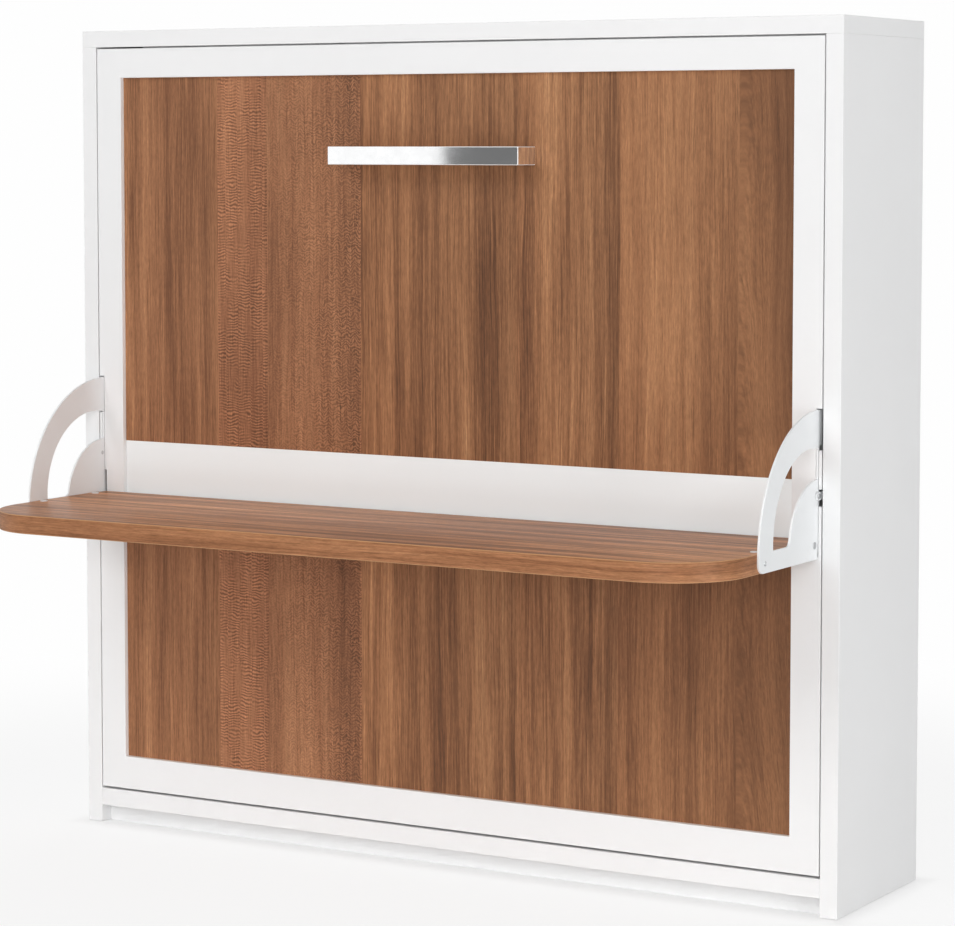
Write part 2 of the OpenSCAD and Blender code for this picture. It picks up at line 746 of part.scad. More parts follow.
// an upright flat bar with an arm turned forward to the bracket
module levelling_bar() {
    y0 = pivot_y + bar_dy;
    z0 = pivot_z + bar_dz;
    y1 = hub_y + bar_dy;
    z1 = hub_z + bar_dz;
    difference() {
        yz(bar_x, bar_t) {
            tie([y0, z0], [y0, z1], bar_w / 2 - 0.5);
            tie([y0, z1], [y1, z1], bar_w / 2 - 1);
            translate([y0, z0]) circle(bar_w / 2 + 1);
        }
        bar(bar_x - 1, bar_t + 2, y0, z0, anchor_r + run);
        bar(bar_x - 1, bar_t + 2, y1, z1, hinge_pin_r + run);
    }
}
module levelling_bar_left() set_in(white) left() levelling_bar();
module levelling_bar_right() set_in(white) levelling_bar();

// ---------------------------------------------------------------- desk leg

leg_pin_r = 4;
block_w = 16;
// blocks under the desk that hold the leg's ends
module leg_hinge_blocks() set_in(dark) both() difference() {
    yz(leg_x + leg_r + play, block_w) {
        translate([-leg_y, leg_z]) circle(leg_drop - 2);
        translate([-leg_y - leg_drop + 2, leg_z]) square([2 * leg_drop - 4, leg_drop]);
    }
    bar(leg_x, leg_r + block_w + 4, -leg_y, leg_z, leg_pin_r);
}

module leg_hinge_pins() set_in(bright) both() {
    bar(leg_x - leg_r - 2, 2 * leg_r + block_w + 2 + play, -leg_y, leg_z, leg_pin_r);
    bar(leg_x - leg_r - 4, 3, -leg_y, leg_z, leg_pin_r + 2);
}

// a tube frame that lies under the desk and swings down when the bed is out
module leg_frame() set_in(bright) {
    y1 = -leg_y + leg_reach;
    both() difference() {
        translate([leg_x, -leg_y, leg_z]) rotate([-90, 0, 0])
            cylinder(r = leg_r, h = leg_reach);
        bar(leg_x - leg_r - 1, 2 * leg_r + 2, -leg_y, leg_z, leg_pin_r + run);
    }
    both() difference() {
        bar(leg_x - leg_r, 2 * leg_r, -leg_y, leg_z, leg_r);
        bar(leg_x - leg_r - 1, 2 * leg_r + 2, -leg_y, leg_z, leg_pin_r + run);
    }
    bar(-leg_x - 40, 2 * leg_x + 80, y1, leg_z, leg_r);
}

module leg_sleeves() set_in(dark) both() difference() {
    bar(leg_x - 70, 50, -leg_y + leg_reach, leg_z, sleeve_r);
    bar(leg_x - 71, 52, -leg_y + leg_reach, leg_z, leg_r);
}

// ---------------------------------------------------------------- nodes

cabinet_side_left();
cabinet_side_right();
top_board();
base_rail();
plinth_board();
floor_board();
back_panel();
upper_back_rail();
lower_back_rail();
stop_strip();
stop_bumpers();
levelling_feet();
cabinet_pivot_plates();
main_pivot_pins();
bar_anchor_pins();
wall_fixing_plates();
gas_cylinder_left();
gas_cylinder_right();
cylinder_clamps();
lifter_rod_left();
lifter_rod_right();
front_stile_left();
front_stile_right();
front_top_rail();
front_bottom_rail();
upper_inset();
lower_inset();
middle_band();
front_lining();
box_side_left();
box_side_right();
box_head_board();
box_foot_board();
slat_ledges();
centre_beam();
slats_set();
mattress();
mattress_straps();
strap_buckles();
bed_pivot_plates();
desk_hinge_plates();
lifter_rollers();
pull_handle();
handle_screws();
desk_board();
bracket_left();
bracket_right();
bracket_screws();
dowel_caps();
desk_hinge_pins();
bar_pins();
levelling_bar_left();
levelling_bar_right();
leg_hinge_blocks();
leg_hinge_pins();
leg_frame();
leg_sleeves();
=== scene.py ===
"""Looks for a wall bed with a fold down desk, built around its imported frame."""

import json
import math

import bmesh
import bpy
import numpy as np
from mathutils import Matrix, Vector
from mathutils.bvhtree import BVHTree


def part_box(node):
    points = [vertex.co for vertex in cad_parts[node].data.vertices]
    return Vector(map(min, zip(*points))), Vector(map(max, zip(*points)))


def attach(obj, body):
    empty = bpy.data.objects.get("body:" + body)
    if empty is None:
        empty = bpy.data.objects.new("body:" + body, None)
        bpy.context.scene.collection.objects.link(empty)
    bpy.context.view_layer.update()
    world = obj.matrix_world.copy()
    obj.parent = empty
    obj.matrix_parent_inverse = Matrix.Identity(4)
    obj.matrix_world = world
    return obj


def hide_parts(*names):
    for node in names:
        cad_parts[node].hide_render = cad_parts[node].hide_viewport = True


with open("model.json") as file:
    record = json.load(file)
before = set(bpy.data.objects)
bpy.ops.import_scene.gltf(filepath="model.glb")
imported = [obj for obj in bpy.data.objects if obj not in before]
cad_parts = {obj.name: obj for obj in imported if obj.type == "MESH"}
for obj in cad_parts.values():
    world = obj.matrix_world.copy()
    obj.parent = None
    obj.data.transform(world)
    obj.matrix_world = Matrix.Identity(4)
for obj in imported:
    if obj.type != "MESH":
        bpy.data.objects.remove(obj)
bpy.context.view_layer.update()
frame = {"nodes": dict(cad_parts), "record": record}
NODES = frame["nodes"]
BODY_OF = {n: b for b, group in frame["record"]["behaviour"]["bodies"].items() for n in group}
MM = 0.001
COLLECTION = bpy.context.scene.collection
Y_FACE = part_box("front_stile_left")[0].y  # the plane of the bed front


# ---------------------------------------------------------------- camera

# Fitted to the corners of the object in the photograph. The angles are in radians.
CAMERA_AT = (3.8492, Y_FACE - 6.3414, 1.7089)
PITCH_DOWN, TURN = 0.07016, 0.53261
LENS, SENSOR = 119.506, 36
SHIFT = -0.10
FAR_CLIP = 200

camera_data = bpy.data.cameras.new("camera")
camera = bpy.data.objects.new("camera", camera_data)
COLLECTION.objects.link(camera)
camera.location = CAMERA_AT
camera.rotation_euler = (math.radians(90) - PITCH_DOWN, 0, TURN)
camera_data.lens = LENS
camera_data.sensor_width = SENSOR
camera_data.shift_y = SHIFT
camera_data.clip_end = FAR_CLIP
bpy.context.scene.camera = camera


# ---------------------------------------------------------------- materials


MIX_COLOURS_IN, MIX_COLOUR_OUT = (6, 7), 2  # the colour sockets of a Mix node


class Shade:
    """A material whose nodes are added by calls that give back sockets."""

    def __init__(self, name):
        self.mat = bpy.data.materials.new(name)
        self.mat.use_nodes = True
        self.tree = self.mat.node_tree
        self.tree.nodes.clear()
        self.output = self.add("ShaderNodeOutputMaterial")
        self.bsdf = self.add("ShaderNodeBsdfPrincipled")
        self.tree.links.new(self.bsdf.outputs[0], self.output.inputs[0])

    def add(self, kind, **properties):
        node = self.tree.nodes.new(kind)
        for key, value in properties.items():
            setattr(node, key, value)
        return node

    def put(self, socket, value):
        if isinstance(value, bpy.types.NodeSocket):
            self.tree.links.new(value, socket)
        elif value is not None:
            if socket.type == "RGBA" and len(value) == 3:
                value = (*value, 1)
            socket.default_value = value

    def set(self, **values):
        for key, value in values.items():
            self.put(self.bsdf.inputs[key.replace("_", " ")], value)

    def place(self):
        return self.add("ShaderNodeTexCoord").outputs["Object"]

    def attribute(self, name, out="Vector"):
        return self.add("ShaderNodeAttribute", attribute_name=name).outputs[out]

    def stretch(self, vector, factors):
        node = self.add("ShaderNodeMapping")
        self.put(node.inputs["Vector"], vector)
        self.put(node.inputs["Scale"], factors)
        return node.outputs[0]

    def noise(self, vector, scale=1.0, detail=2.0, rough=0.5):
        node = self.add("ShaderNodeTexNoise")
        self.put(node.inputs["Vector"], vector)
        self.put(node.inputs["Scale"], scale)
        self.put(node.inputs["Detail"], detail)
        self.put(node.inputs["Roughness"], rough)
        return node.outputs[0]

    def math(self, what, a, b=None):
        node = self.add("ShaderNodeMath", operation=what)
        for socket, value in zip(node.inputs, (a, b)):
            self.put(socket, value)
        return node.outputs[0]

    def times(self, a, b):
        return self.math("MULTIPLY", a, b)

    def plus(self, a, b):
        return self.math("ADD", a, b)

    def minus(self, a, b):
        return self.math("SUBTRACT", a, b)

    def wave(self, phase):
        return self.math("SINE", phase)

    def remap(self, value, low, high, to_low=0.0, to_high=1.0, smooth=False):
        node = self.add("ShaderNodeMapRange")
        node.interpolation_type = "SMOOTHSTEP" if smooth else "LINEAR"
        for socket, v in zip(node.inputs, (value, low, high, to_low, to_high)):
            self.put(socket, v)
        return node.outputs[0]

    def ramp(self, factor, stops, step=False):
        node = self.add("ShaderNodeValToRGB")
        band = node.color_ramp
        band.interpolation = "CONSTANT" if step else "LINEAR"
        while len(band.elements) < len(stops):
            band.elements.new(1.0)
        for element, (at, colour) in zip(band.elements, stops):
            element.position = at
            element.color = (*colour, 1)
        self.put(node.inputs[0], factor)
        return node.outputs[0]

    def mix(self, factor, a, b, how="MIX"):
        node = self.add("ShaderNodeMix", data_type="RGBA", blend_type=how)
        first, second = MIX_COLOURS_IN
        self.put(node.inputs[0], factor)
        self.put(node.inputs[first], a)
        self.put(node.inputs[second], b)
        return node.outputs[MIX_COLOUR_OUT]

    def split(self, vector):
        node = self.add("ShaderNodeSeparateXYZ")
        self.put(node.inputs[0], vector)
        return node.outputs

    def join(self, x, y, z):
        node = self.add("ShaderNodeCombineXYZ")
        for socket, value in zip(node.inputs, (x, y, z)):
            self.put(socket, value)
        return node.outputs[0]

    def bump(self, height, strength, distance, normal=None):
        node = self.add("ShaderNodeBump")
        self.put(node.inputs["Strength"], strength)
        self.put(node.inputs["Distance"], distance)
        self.put(node.inputs["Height"], height)
        if normal is not None:
            self.put(node.inputs["Normal"], normal)
        return node.outputs[0]


def srgb(r, g, b):
    """Linear colour from screen values of 0 to 255."""
    out = []
    for v in (r, g, b):
        v /= 255
        out.append(v / 12.92 if v <= 0.04045 else ((v + 0.055) / 1.055) ** 2.4)
    return tuple(out)


def scaled(tint, factor, lift=0.0):
    """A colour made darker or lighter."""
    return tuple(min(1, c * factor + lift) for c in tint)


def laminate(name, tint):
    """White melamine board: a faint pearl in the surface, a little rubbed along the edges."""
    s = Shade(name)
    at = s.place()
    cloud = s.noise(at, 2.2, 3, 0.6)
    pearl = s.noise(at, 900, 2, 0.55)
    rub = s.noise(at, 38, 4, 0.7)
    worn = s.times(s.attribute("edge", "Fac"), s.remap(rub, 0.5, 0.68, 0.0, 0.5))
    base = s.mix(s.remap(cloud, 0.35, 0.65), scaled(tint, 0.985), tint)
    base = s.mix(worn, base, scaled(tint, 0.9))
    rough = s.remap(s.noise(at, 14, 4, 0.6), 0.3, 0.7, 0.36, 0.46)
    s.set(Base_Color=base, Roughness=rough, Specular_IOR_Level=0.4)
    s.set(Normal=s.bump(pearl, 0.1, 0.00012))
    return s.mat


def powder_coat(name, tint, gloss=0.38):
    """Powder coated steel: a fine orange peel over an even colour, thinner along the edges."""
    s = Shade(name)
    at = s.place()
    peel = s.noise(at, 420, 2, 0.5)
    grit = s.noise(at, 1900, 1, 0.5)
    rub = s.remap(s.noise(at, 55, 4, 0.7), 0.52, 0.7, 0.0, 0.5)
    base = s.mix(s.remap(s.noise(at, 6, 3, 0.6), 0.3, 0.7), scaled(tint, 0.97), tint)
    base = s.mix(s.times(s.attribute("edge", "Fac"), rub), base, scaled(tint, 0.82))
    s.set(Base_Color=base, Specular_IOR_Level=0.5)
    s.set(Roughness=s.remap(peel, 0.3, 0.7, gloss - 0.05, gloss + 0.07))
    s.set(Normal=s.bump(s.plus(peel, s.times(grit, 0.3)), 0.14, 0.0002))
    return s.mat


LINES_PER_METRE = 3000  # of brushed metal


def plated(name, tint, gloss, lines=0.0, along=(1, 1, 1), rim=0.0):
    """Plated metal with fine brushed lines. `along` draws the lines out along an axis, and `rim` is
    how far the edges lose their mirror, so that they show as a bright outline, a painted highlight.
    The edges are also painted lighter, as a painted highlight."""
    s = Shade(name)
    at = s.place()
    brushed = s.noise(s.stretch(at, tuple(LINES_PER_METRE / a for a in along)), 1, 2, 0.6)
    cloud = s.noise(at, 24, 4, 0.65)
    smudge = s.noise(at, 9, 3, 0.6)
    edge = s.attribute("edge", "Fac")
    base = s.mix(s.remap(cloud, 0.35, 0.65), scaled(tint, 0.93), tint)
    # painted highlight: the rounded edges are painted lighter
    base = s.mix(s.times(edge, 0.5), base, scaled(tint, 1.12))
    rough = s.remap(smudge, 0.3, 0.7, gloss * 0.8, gloss * 1.25)
    rough = s.plus(s.plus(rough, s.times(brushed, gloss * 0.2)), s.times(edge, 0.3))
    s.set(Base_Color=base, Metallic=s.minus(1.0, s.times(edge, rim)), Roughness=rough)
    s.set(Normal=s.bump(brushed, lines, 0.00006))
    return s.mat


def moulded(name, tint, gloss=0.45, grain=0.3, spec=0.5):
    """Moulded plastic or rubber with a fine eroded texture."""
    s = Shade(name)
    at = s.place()
    skin = s.noise(at, 1500, 3, 0.6)
    cloud = s.noise(at, 30, 3, 0.6)
    worn = s.times(s.attribute("edge", "Fac"), s.remap(cloud, 0.45, 0.65, 0.1, 0.45))
    base = s.mix(s.remap(cloud, 0.3, 0.7), scaled(tint, 0.9), tint)
    base = s.mix(worn, base, scaled(tint, 1.25, 0.02))
    rough = s.remap(skin, 0.3, 0.7, gloss - 0.06, gloss + 0.08)
    s.set(Base_Color=base, Roughness=rough, Specular_IOR_Level=spec)
    s.set(Normal=s.bump(skin, grain, 0.00015))
    return s.mat


def webbing(name, tint, pitch=0.003):
    """Woven tape. Its ribs follow the mesh's tape attribute: metres along, metres across, and how
    near the selvedge."""
    s = Shade(name)
    mul = s.times
    along, across, rim = s.split(s.attribute("tape"))
    turn = 2 * math.pi / pitch
    weft = s.wave(mul(across, turn))
    cell = mul(s.wave(s.plus(mul(along, turn), mul(weft, 1.3))), weft)
    fluff = s.noise(s.place(), 700, 3, 0.6)
    worn = s.remap(s.noise(s.place(), 26, 4, 0.65), 0.4, 0.7)
    base = s.mix(s.remap(cell, -1, 1, 0.0, 0.55), tint, scaled(tint, 1.7, 0.02))
    base = s.mix(mul(mul(rim, worn), 0.6), base, scaled(tint, 2.0, 0.03))
    rough = s.remap(fluff, 0.3, 0.7, 0.72, 0.86)
    s.set(Base_Color=base, Roughness=rough, Specular_IOR_Level=0.3, Sheen_Weight=0.25)
    s.set(Normal=s.bump(s.plus(cell, mul(fluff, 0.4)), 0.5, 0.0004))
    return s.mat


QUILT = 0.15  # spacing of the diamond quilting
BORDER = 0.09  # width of the plain margin round a quilted face
KNIT_PITCH, TWILL_PITCH, STITCH_PITCH = 0.0026, 0.022, 0.007
THREAD = (0.52, 0.53, 0.56)


def ticking(name, tint):
    """Knitted mattress cover: fine ribs, a soft cloud, and stitches along the quilting."""
    s = Shade(name)
    mul, add = s.times, s.plus
    at = s.place()
    x, y, z = s.split(at)
    fine = 2 * math.pi / KNIT_PITCH
    knit = mul(s.wave(mul(add(x, y), fine)), s.wave(mul(add(z, y), fine)))
    twill = s.wave(mul(add(x, add(z, y)), 2 * math.pi / TWILL_PITCH))
    fuzz = s.noise(at, 900, 3, 0.6)
    cloud = s.noise(at, 7, 4, 0.6)
    stitches = 0.0
    for sign in (1, -1):
        u = mul(add(x, mul(z, sign)), math.sqrt(0.5))
        v = mul(s.minus(x, mul(z, sign)), math.sqrt(0.5))
        seam = s.remap(s.math("PINGPONG", u, QUILT / 2), 0.0016, 0.0006)
        dash = s.remap(s.wave(mul(v, 2 * math.pi / STITCH_PITCH)), -0.3, 0.1)
        stitches = s.math("MAXIMUM", mul(seam, dash), stitches)
    stitches = mul(stitches, s.attribute("quilted", "Fac"))
    base = s.mix(s.remap(cloud, 0.3, 0.7), scaled(tint, 0.95), tint)
    base = s.mix(mul(s.remap(twill, -0.2, 0.6), 0.35), base, scaled(tint, 0.94))
    base = s.mix(mul(s.remap(knit, -1, 1), 0.3), base, scaled(tint, 0.9))
    base = s.mix(mul(stitches, 0.7), base, THREAD)
    rough = s.remap(fuzz, 0.3, 0.7, 0.82, 0.92)
    s.set(Base_Color=base, Roughness=rough, Specular_IOR_Level=0.2, Sheen_Weight=0.3)
    height = add(add(mul(knit, 0.35), mul(twill, 0.25)), mul(fuzz, 0.3))
    s.set(Normal=s.bump(s.minus(height, stitches), 0.55, 0.0006))
    return s.mat


TONE_STOPS = (0.0, 0.28, 0.55, 0.8, 1.0)  # where a wood's five tones lie on its ramp
REDDER = (1.02, 0.96, 1.06)
CREST = 0.785  # where the arches of the flat sawn leaf have their top, across the panel
FLECK_COLUMNS = 28.0  # a metre
FUZZ_FROM, FUZZ_TO = -0.50, -0.23  # the zigzag grows between these, across the panel


def wood(name, leaves, tones, gloss=0.42, sheen=0.25):
    """Figured veneer laid in leaves side by side. The mesh's grain attribute says where a point
    lies along the fibre, across it, and which board it is."""
    s = Shade(name)
    mul, add, sub = s.times, s.plus, s.minus
    along, across, board = s.split(s.attribute("grain"))
    first, width = leaves[0][0], leaves[-1][0] - leaves[0][0]
    place = s.remap(across, first, first + width)
    starts = [(each[0] - first) / width for each in leaves]
    kinds = [each[1] for each in leaves[:-1]]

    def by_leaf(*keys):
        stops = [(at, tuple(kind[key] for key in keys)) for at, kind in zip(starts, kinds)]
        return s.split(s.ramp(place, stops, step=True))

    contrast, red, shift = by_leaf("contrast", "red", "shift")
    ray, pebble, flat_sawn = by_leaf("ray", "pebble", "arch")
    shift = add(mul(shift, 37.0), mul(board, 11.0))

    def grained(run, over, detail, rough, sideways=across, seed=shift):
        """Noise that changes `run` times a metre along the fibre and `over` times across it."""
        return s.noise(s.join(mul(along, run), mul(sideways, over), seed), 1, detail, rough)

    # the fibre wanders slowly along each leaf, and rises to an arch in a flat sawn one
    wander = sub(grained(1.3, 7.0, 3, 0.5), 0.5)
    crest = sub(across, add(CREST, mul(wander, 0.08)))
    arch = add(mul(mul(crest, crest), 9.0), mul(along, 0.05))
    line = mul(add(across, mul(wander, 0.03)), sub(1.0, flat_sawn))
    line = add(line, mul(arch, flat_sawn))

    broad = grained(0.6, 30.0, 3, 0.55, line)
    narrow = grained(1.7, 125.0, 4, 0.65, line)
    hair = grained(5.5, 330.0, 2, 0.6, line)
    dark_fibre = s.remap(grained(11.0, 290.0, 2, 0.6, line, add(shift, 5.0)), 0.55, 0.72)
    light_fibre = s.remap(grained(13.0, 350.0, 2, 0.6, line, add(shift, 9.0)), 0.56, 0.74)
    speck = grained(48.0, 340.0, 2, 0.7, line, add(shift, 3.0))
    pore = grained(60.0, 2600.0, 1, 0.5)
    drift = grained(0.9, 4.5, 2, 0.5)

    value = add(add(mul(broad, 0.40), mul(narrow, 0.26)), mul(hair, 0.34))
    value = add(0.52, mul(sub(value, 0.5), mul(contrast, 4.6)))
    value = add(value, mul(sub(drift, 0.5), 0.75))
    base = s.ramp(value, list(zip(TONE_STOPS, tones)))
    base = s.mix(red, base, s.mix(1.0, base, REDDER, "MULTIPLY"))
    # each leaf's tone; on the desk it also paints the top lighter than the edge band, as painted
    # light
    tone = []
    for at, end, kind in zip(starts, starts[1:], kinds):
        left, middle, right = kind["tone"]
        tone += [(at, (left,) * 3), ((at + end) / 2, (middle,) * 3), (end - 0.0006, (right,) * 3)]
    bright = mul(s.split(s.ramp(place, tone))[0], 2.0)
    fibre = mul(sub(1.0, mul(dark_fibre, 0.26)), add(1.0, mul(light_fibre, 0.17)))
    fibre = mul(fibre, s.remap(speck, 0.32, 0.68, 0.82, 1.18))

    # ray fleck: wavy strokes across the fibre in columns
    patch = grained(11.0, 30.0, 2, 0.6)
    swirl = grained(26.0, 34.0, 2, 0.5)
    column = mul(s.math("FLOOR", mul(sub(across, first), FLECK_COLUMNS)), 2.3)
    stroke = s.wave(add(add(mul(along, 820.0), column), mul(swirl, 19.0)))
    stroke = mul(stroke, s.remap(patch, 0.38, 0.58, 0.15, 1.15))

    # a fuzzy short zigzag that grows to one side
    zig = s.math("PINGPONG", across, 0.013)
    churn = grained(60.0, 60.0, 2, 0.6)
    fuzz = s.wave(add(mul(add(along, mul(zig, 0.75)), 700.0), mul(churn, 22.0)))
    fuzz = mul(fuzz, s.remap(across, FUZZ_FROM, FUZZ_TO, 0.25, 1.0))
    fuzz = mul(fuzz, s.remap(patch, 0.36, 0.6, 0.4, 1.0))

    relief = add(mul(stroke, ray), mul(fuzz, pebble))
    shade = mul(mul(add(1.0, mul(relief, 0.38)), fibre), bright)
    shade = mul(shade, s.remap(pore, 0.62, 0.74, 1.0, 0.84))
    base = s.mix(1.0, base, s.join(shade, shade, shade), "MULTIPLY")
    # painted highlight: the rounded edges are painted towards the lightest tone, for the light line
    # they catch
    base = s.mix(mul(s.attribute("edge", "Fac"), 0.75), base, tones[-1])

    rough = add(s.remap(narrow, 0.3, 0.7, gloss + 0.05, gloss - 0.05), mul(hair, 0.06))
    s.set(Base_Color=base, Roughness=rough, Specular_IOR_Level=sheen)
    height = add(mul(hair, 0.6), mul(s.remap(pore, 0.6, 0.75, 1.0, 0.0), 0.6))
    skin = s.bump(sub(height, mul(dark_fibre, 0.5)), 0.2, 0.0003)
    s.set(Normal=s.bump(relief, 0.3, 0.0006, skin))
    return s.mat


def leaf(start, tone=(0.5, 0.5, 0.5), contrast=0.5, red=0.0, **figure):
    """One leaf of veneer. Its tone at the left, middle and right is 0.5 where plain. The figure is
    any of ray, pebble and arch, and shift sets its own stretch of the noise."""
    plain = dict(ray=0.0, pebble=0.0, arch=0.0, shift=0.0)
    return (start, {**plain, **figure, "tone": tone, "contrast": contrast, "red": red})


WALNUT = [
    srgb(80, 50, 33), srgb(114, 75, 49), srgb(148, 102, 69), srgb(173, 124, 86),
    srgb(195, 149, 107),
]
BIRCH = [
    srgb(176, 142, 98), srgb(196, 163, 118), srgb(212, 182, 138), srgb(222, 194, 152),
    srgb(230, 206, 168),
]
PANEL_LEAVES = [
    leaf(-0.930, (0.54, 0.58, 0.53), 0.46, 0.3, shift=0.11),
    leaf(-0.635, (0.61, 0.59, 0.61), 0.24, 0.8, ray=1.15, shift=0.57),
    leaf(-0.493, (0.50, 0.51, 0.44), 0.28, 0.6, pebble=1.2, shift=0.23),
    leaf(-0.218, (0.64, 0.50, 0.44), 0.52, 0.0, shift=0.71),
    leaf(0.211, (0.56, 0.50, 0.43), 0.55, 0.0, shift=0.37),
    leaf(0.476, (0.58, 0.51, 0.48), 0.34, 0.0, shift=0.93),
    leaf(0.772, (0.46, 0.45, 0.42), 0.22, 0.0, arch=1.0, shift=0.49),
    (0.930, None),
]
# painted light: the second leaf, on the desk's top, is painted much lighter than the first, on its
# edge band, for the light that falls on the top; both are the same veneer
DESK_LEAVES = [
    leaf(-1.0, (0.55, 0.55, 0.54), 0.42, 0.4, shift=0.31),
    leaf(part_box("desk_board")[0].y, (0.92, 0.86, 0.84), 0.74, 0.0, shift=0.44),
    (1.0, None),
]

MATERIALS = {
    "white_board": laminate("white_laminate", (0.875, 0.877, 0.88)),
    # painted light: the middle band's white is lighter and bluer than the other boards', to make up
    # for the shade and the warm bounce from the desk that the band gets
    "band_white_painted_lighter": laminate("band_laminate_painted_lighter", (0.93, 0.968, 0.98)),
    "veneer": wood("walnut_panel", PANEL_LEAVES, WALNUT),
    "desk_veneer": wood("walnut_desk", DESK_LEAVES, WALNUT, gloss=0.36, sheen=0.12),
    "slat_wood": wood("birch", [leaf(-2.0, contrast=0.16, shift=0.2), (2.0, None)], BIRCH),
    "white_steel": powder_coat("white_powder_coat", (0.868, 0.884, 0.894)),
    "black_steel": powder_coat("black_paint", (0.018, 0.018, 0.02), 0.3),
    "zinc_steel": plated("zinc", (0.62, 0.63, 0.64), 0.32, 0.12),
    # the chrome's rim paints the handle's bright outline, a painted highlight
    "chrome": plated("chrome", (0.93, 0.935, 0.94), 0.05, 0.015, (12, 1, 1), rim=0.9),
    "rubber": moulded("rubber", (0.03, 0.03, 0.032), 0.7, 0.5, 0.3),
    "plastic": moulded("black_plastic", (0.035, 0.035, 0.038), 0.42, 0.25),
    "white_plastic": moulded("white_plastic", (0.82, 0.82, 0.82), 0.4, 0.15),
    "webbing": webbing("woven_strap", (0.052, 0.056, 0.066)),
    "ticking": ticking("mattress_ticking", (0.80, 0.79, 0.755)),
    "piping": webbing("piping_tape", (0.66, 0.65, 0.62), 0.0022),
}


# ---------------------------------------------------------------- mesh tools


FLAT = math.radians(0.5)  # faces that turn less than this are one
SHARP = math.radians(28)  # edges that turn more than this are rounded
CREASE = math.radians(40)  # edges of turned shapes that turn more than this look sharp
WELD = 1e-5  # points closer than this are one
SHORTEST = 2.2  # edges shorter than this many widths of the rounding stay as they are


def material_of(node):
    """The material slot that the record gives a node."""
    return NODES[node].data.materials[0].name


def edge_layer(bm):
    return bm.faces.layers.float.get("edge") or bm.faces.layers.float.new("edge")


def merge_flat(bm):
    bmesh.ops.dissolve_limit(bm, angle_limit=FLAT, verts=bm.verts, edges=bm.edges)


def round_edges(bm, edges, width, segments, clamp=False):
    return bmesh.ops.bevel(
        bm, geom=edges, offset=width, offset_type="OFFSET", segments=segments, profile=0.5,
        affect="EDGES", clamp_overlap=clamp,
    )["faces"]


def solid(node):
    """A node's mesh with its facets joined into flat faces."""
    bm = bmesh.new()
    bm.from_mesh(NODES[node].data)
    bmesh.ops.remove_doubles(bm, verts=bm.verts, dist=WELD)
    merge_flat(bm)
    return bm


def soften(bm, width, segments=2):
    """Rounds the sharp edges and marks the new faces, which some materials wear a little and the
    wood and plated metal paint lighter as a painted highlight. The short edges of small holes stay
    as they are, so that they don't hold the rounding back."""
    mark = edge_layer(bm)
    edges = [
        e for e in bm.edges
        if len(e.link_faces) == 2
        and e.calc_length() >= width * SHORTEST
        and e.calc_face_angle(0) > SHARP
    ]
    for f in round_edges(bm, edges, width, segments, clamp=True):
        f[mark] = 1.0
    return bm


def run_by_axis(along):
    """Grain that runs along one axis on a board's faces, and along its edges on the ends."""
    order = [along] + [a for a in (0, 2, 1) if a != along]

    def run(co, normal):
        facing = max(range(3), key=lambda a: abs(normal[a]))
        axes = [a for a in order if a != facing]
        return co[axes[0]], co[axes[1]]

    return run


def lay_grain(mesh, run, board):
    """Stores where each corner lies in the wood."""
    layer = mesh.attributes.new("grain", "FLOAT_VECTOR", "CORNER")
    for face in mesh.polygons:
        for c in face.loop_indices:
            co = mesh.vertices[mesh.loops[c].vertex_index].co
            a, b = run(co, face.normal)
            layer.data[c].vector = (a, b, board)


def piece(name, bm, material, body, smooth=True, grain=None, board=0.0):
    """A new object from a bmesh, with evened normals, riding on a body."""
    edge_layer(bm)
    mesh = bpy.data.meshes.new(name)
    bm.normal_update()
    bm.to_mesh(mesh)
    bm.free()
    if grain:
        lay_grain(mesh, grain, board)
    obj = bpy.data.objects.new(name, mesh)
    COLLECTION.objects.link(obj)
    mesh.materials.append(MATERIALS[material])
    if smooth:
        mesh.shade_smooth()
        even = obj.modifiers.new("even", "WEIGHTED_NORMAL")
        even.keep_sharp = True
    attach(obj, body)
    return obj


def dress(node, width, segments=2, material=None, grain=None, board=0.0):
    """A node's shape again with rounded edges, in place of the node. Width is in millimetres."""
    bm = soften(solid(node), width * MM, segments)
    slot = material_of(node)
    obj = piece(node + "_made", bm, material or slot, BODY_OF[node], grain=grain, board=board)
    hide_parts(node)


DESK_LOW, DESK_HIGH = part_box("desk_board")
DESK_CORNER = 0.175  # radius of the desk's rounded corners
FACES_UP = 0.7


def desk_run(co, normal):
    """The desk's grain runs along its top, and its edge band follows the outline."""
    if abs(normal[2]) > FACES_UP:
        return co[0], co[1]
    reach, side = DESK_HIGH.x - DESK_CORNER, DESK_LOW.y + DESK_CORNER
    x, y = abs(co[0]), co[1]
    if y > side:
        run = reach + DESK_CORNER * math.pi / 2 + (y - side)
    elif x > reach:
        run = reach + DESK_CORNER * math.atan2(x - reach, side - y)
    else:
        run = x
    # the edge band's place across lies below the top's, so that it takes the leaf painted darker
    # than the top
    return math.copysign(run, co[0]), DESK_LOW.y - (DESK_HIGH.z - co[2])


BEFORE_FRONT = -2  # where rays towards the front start


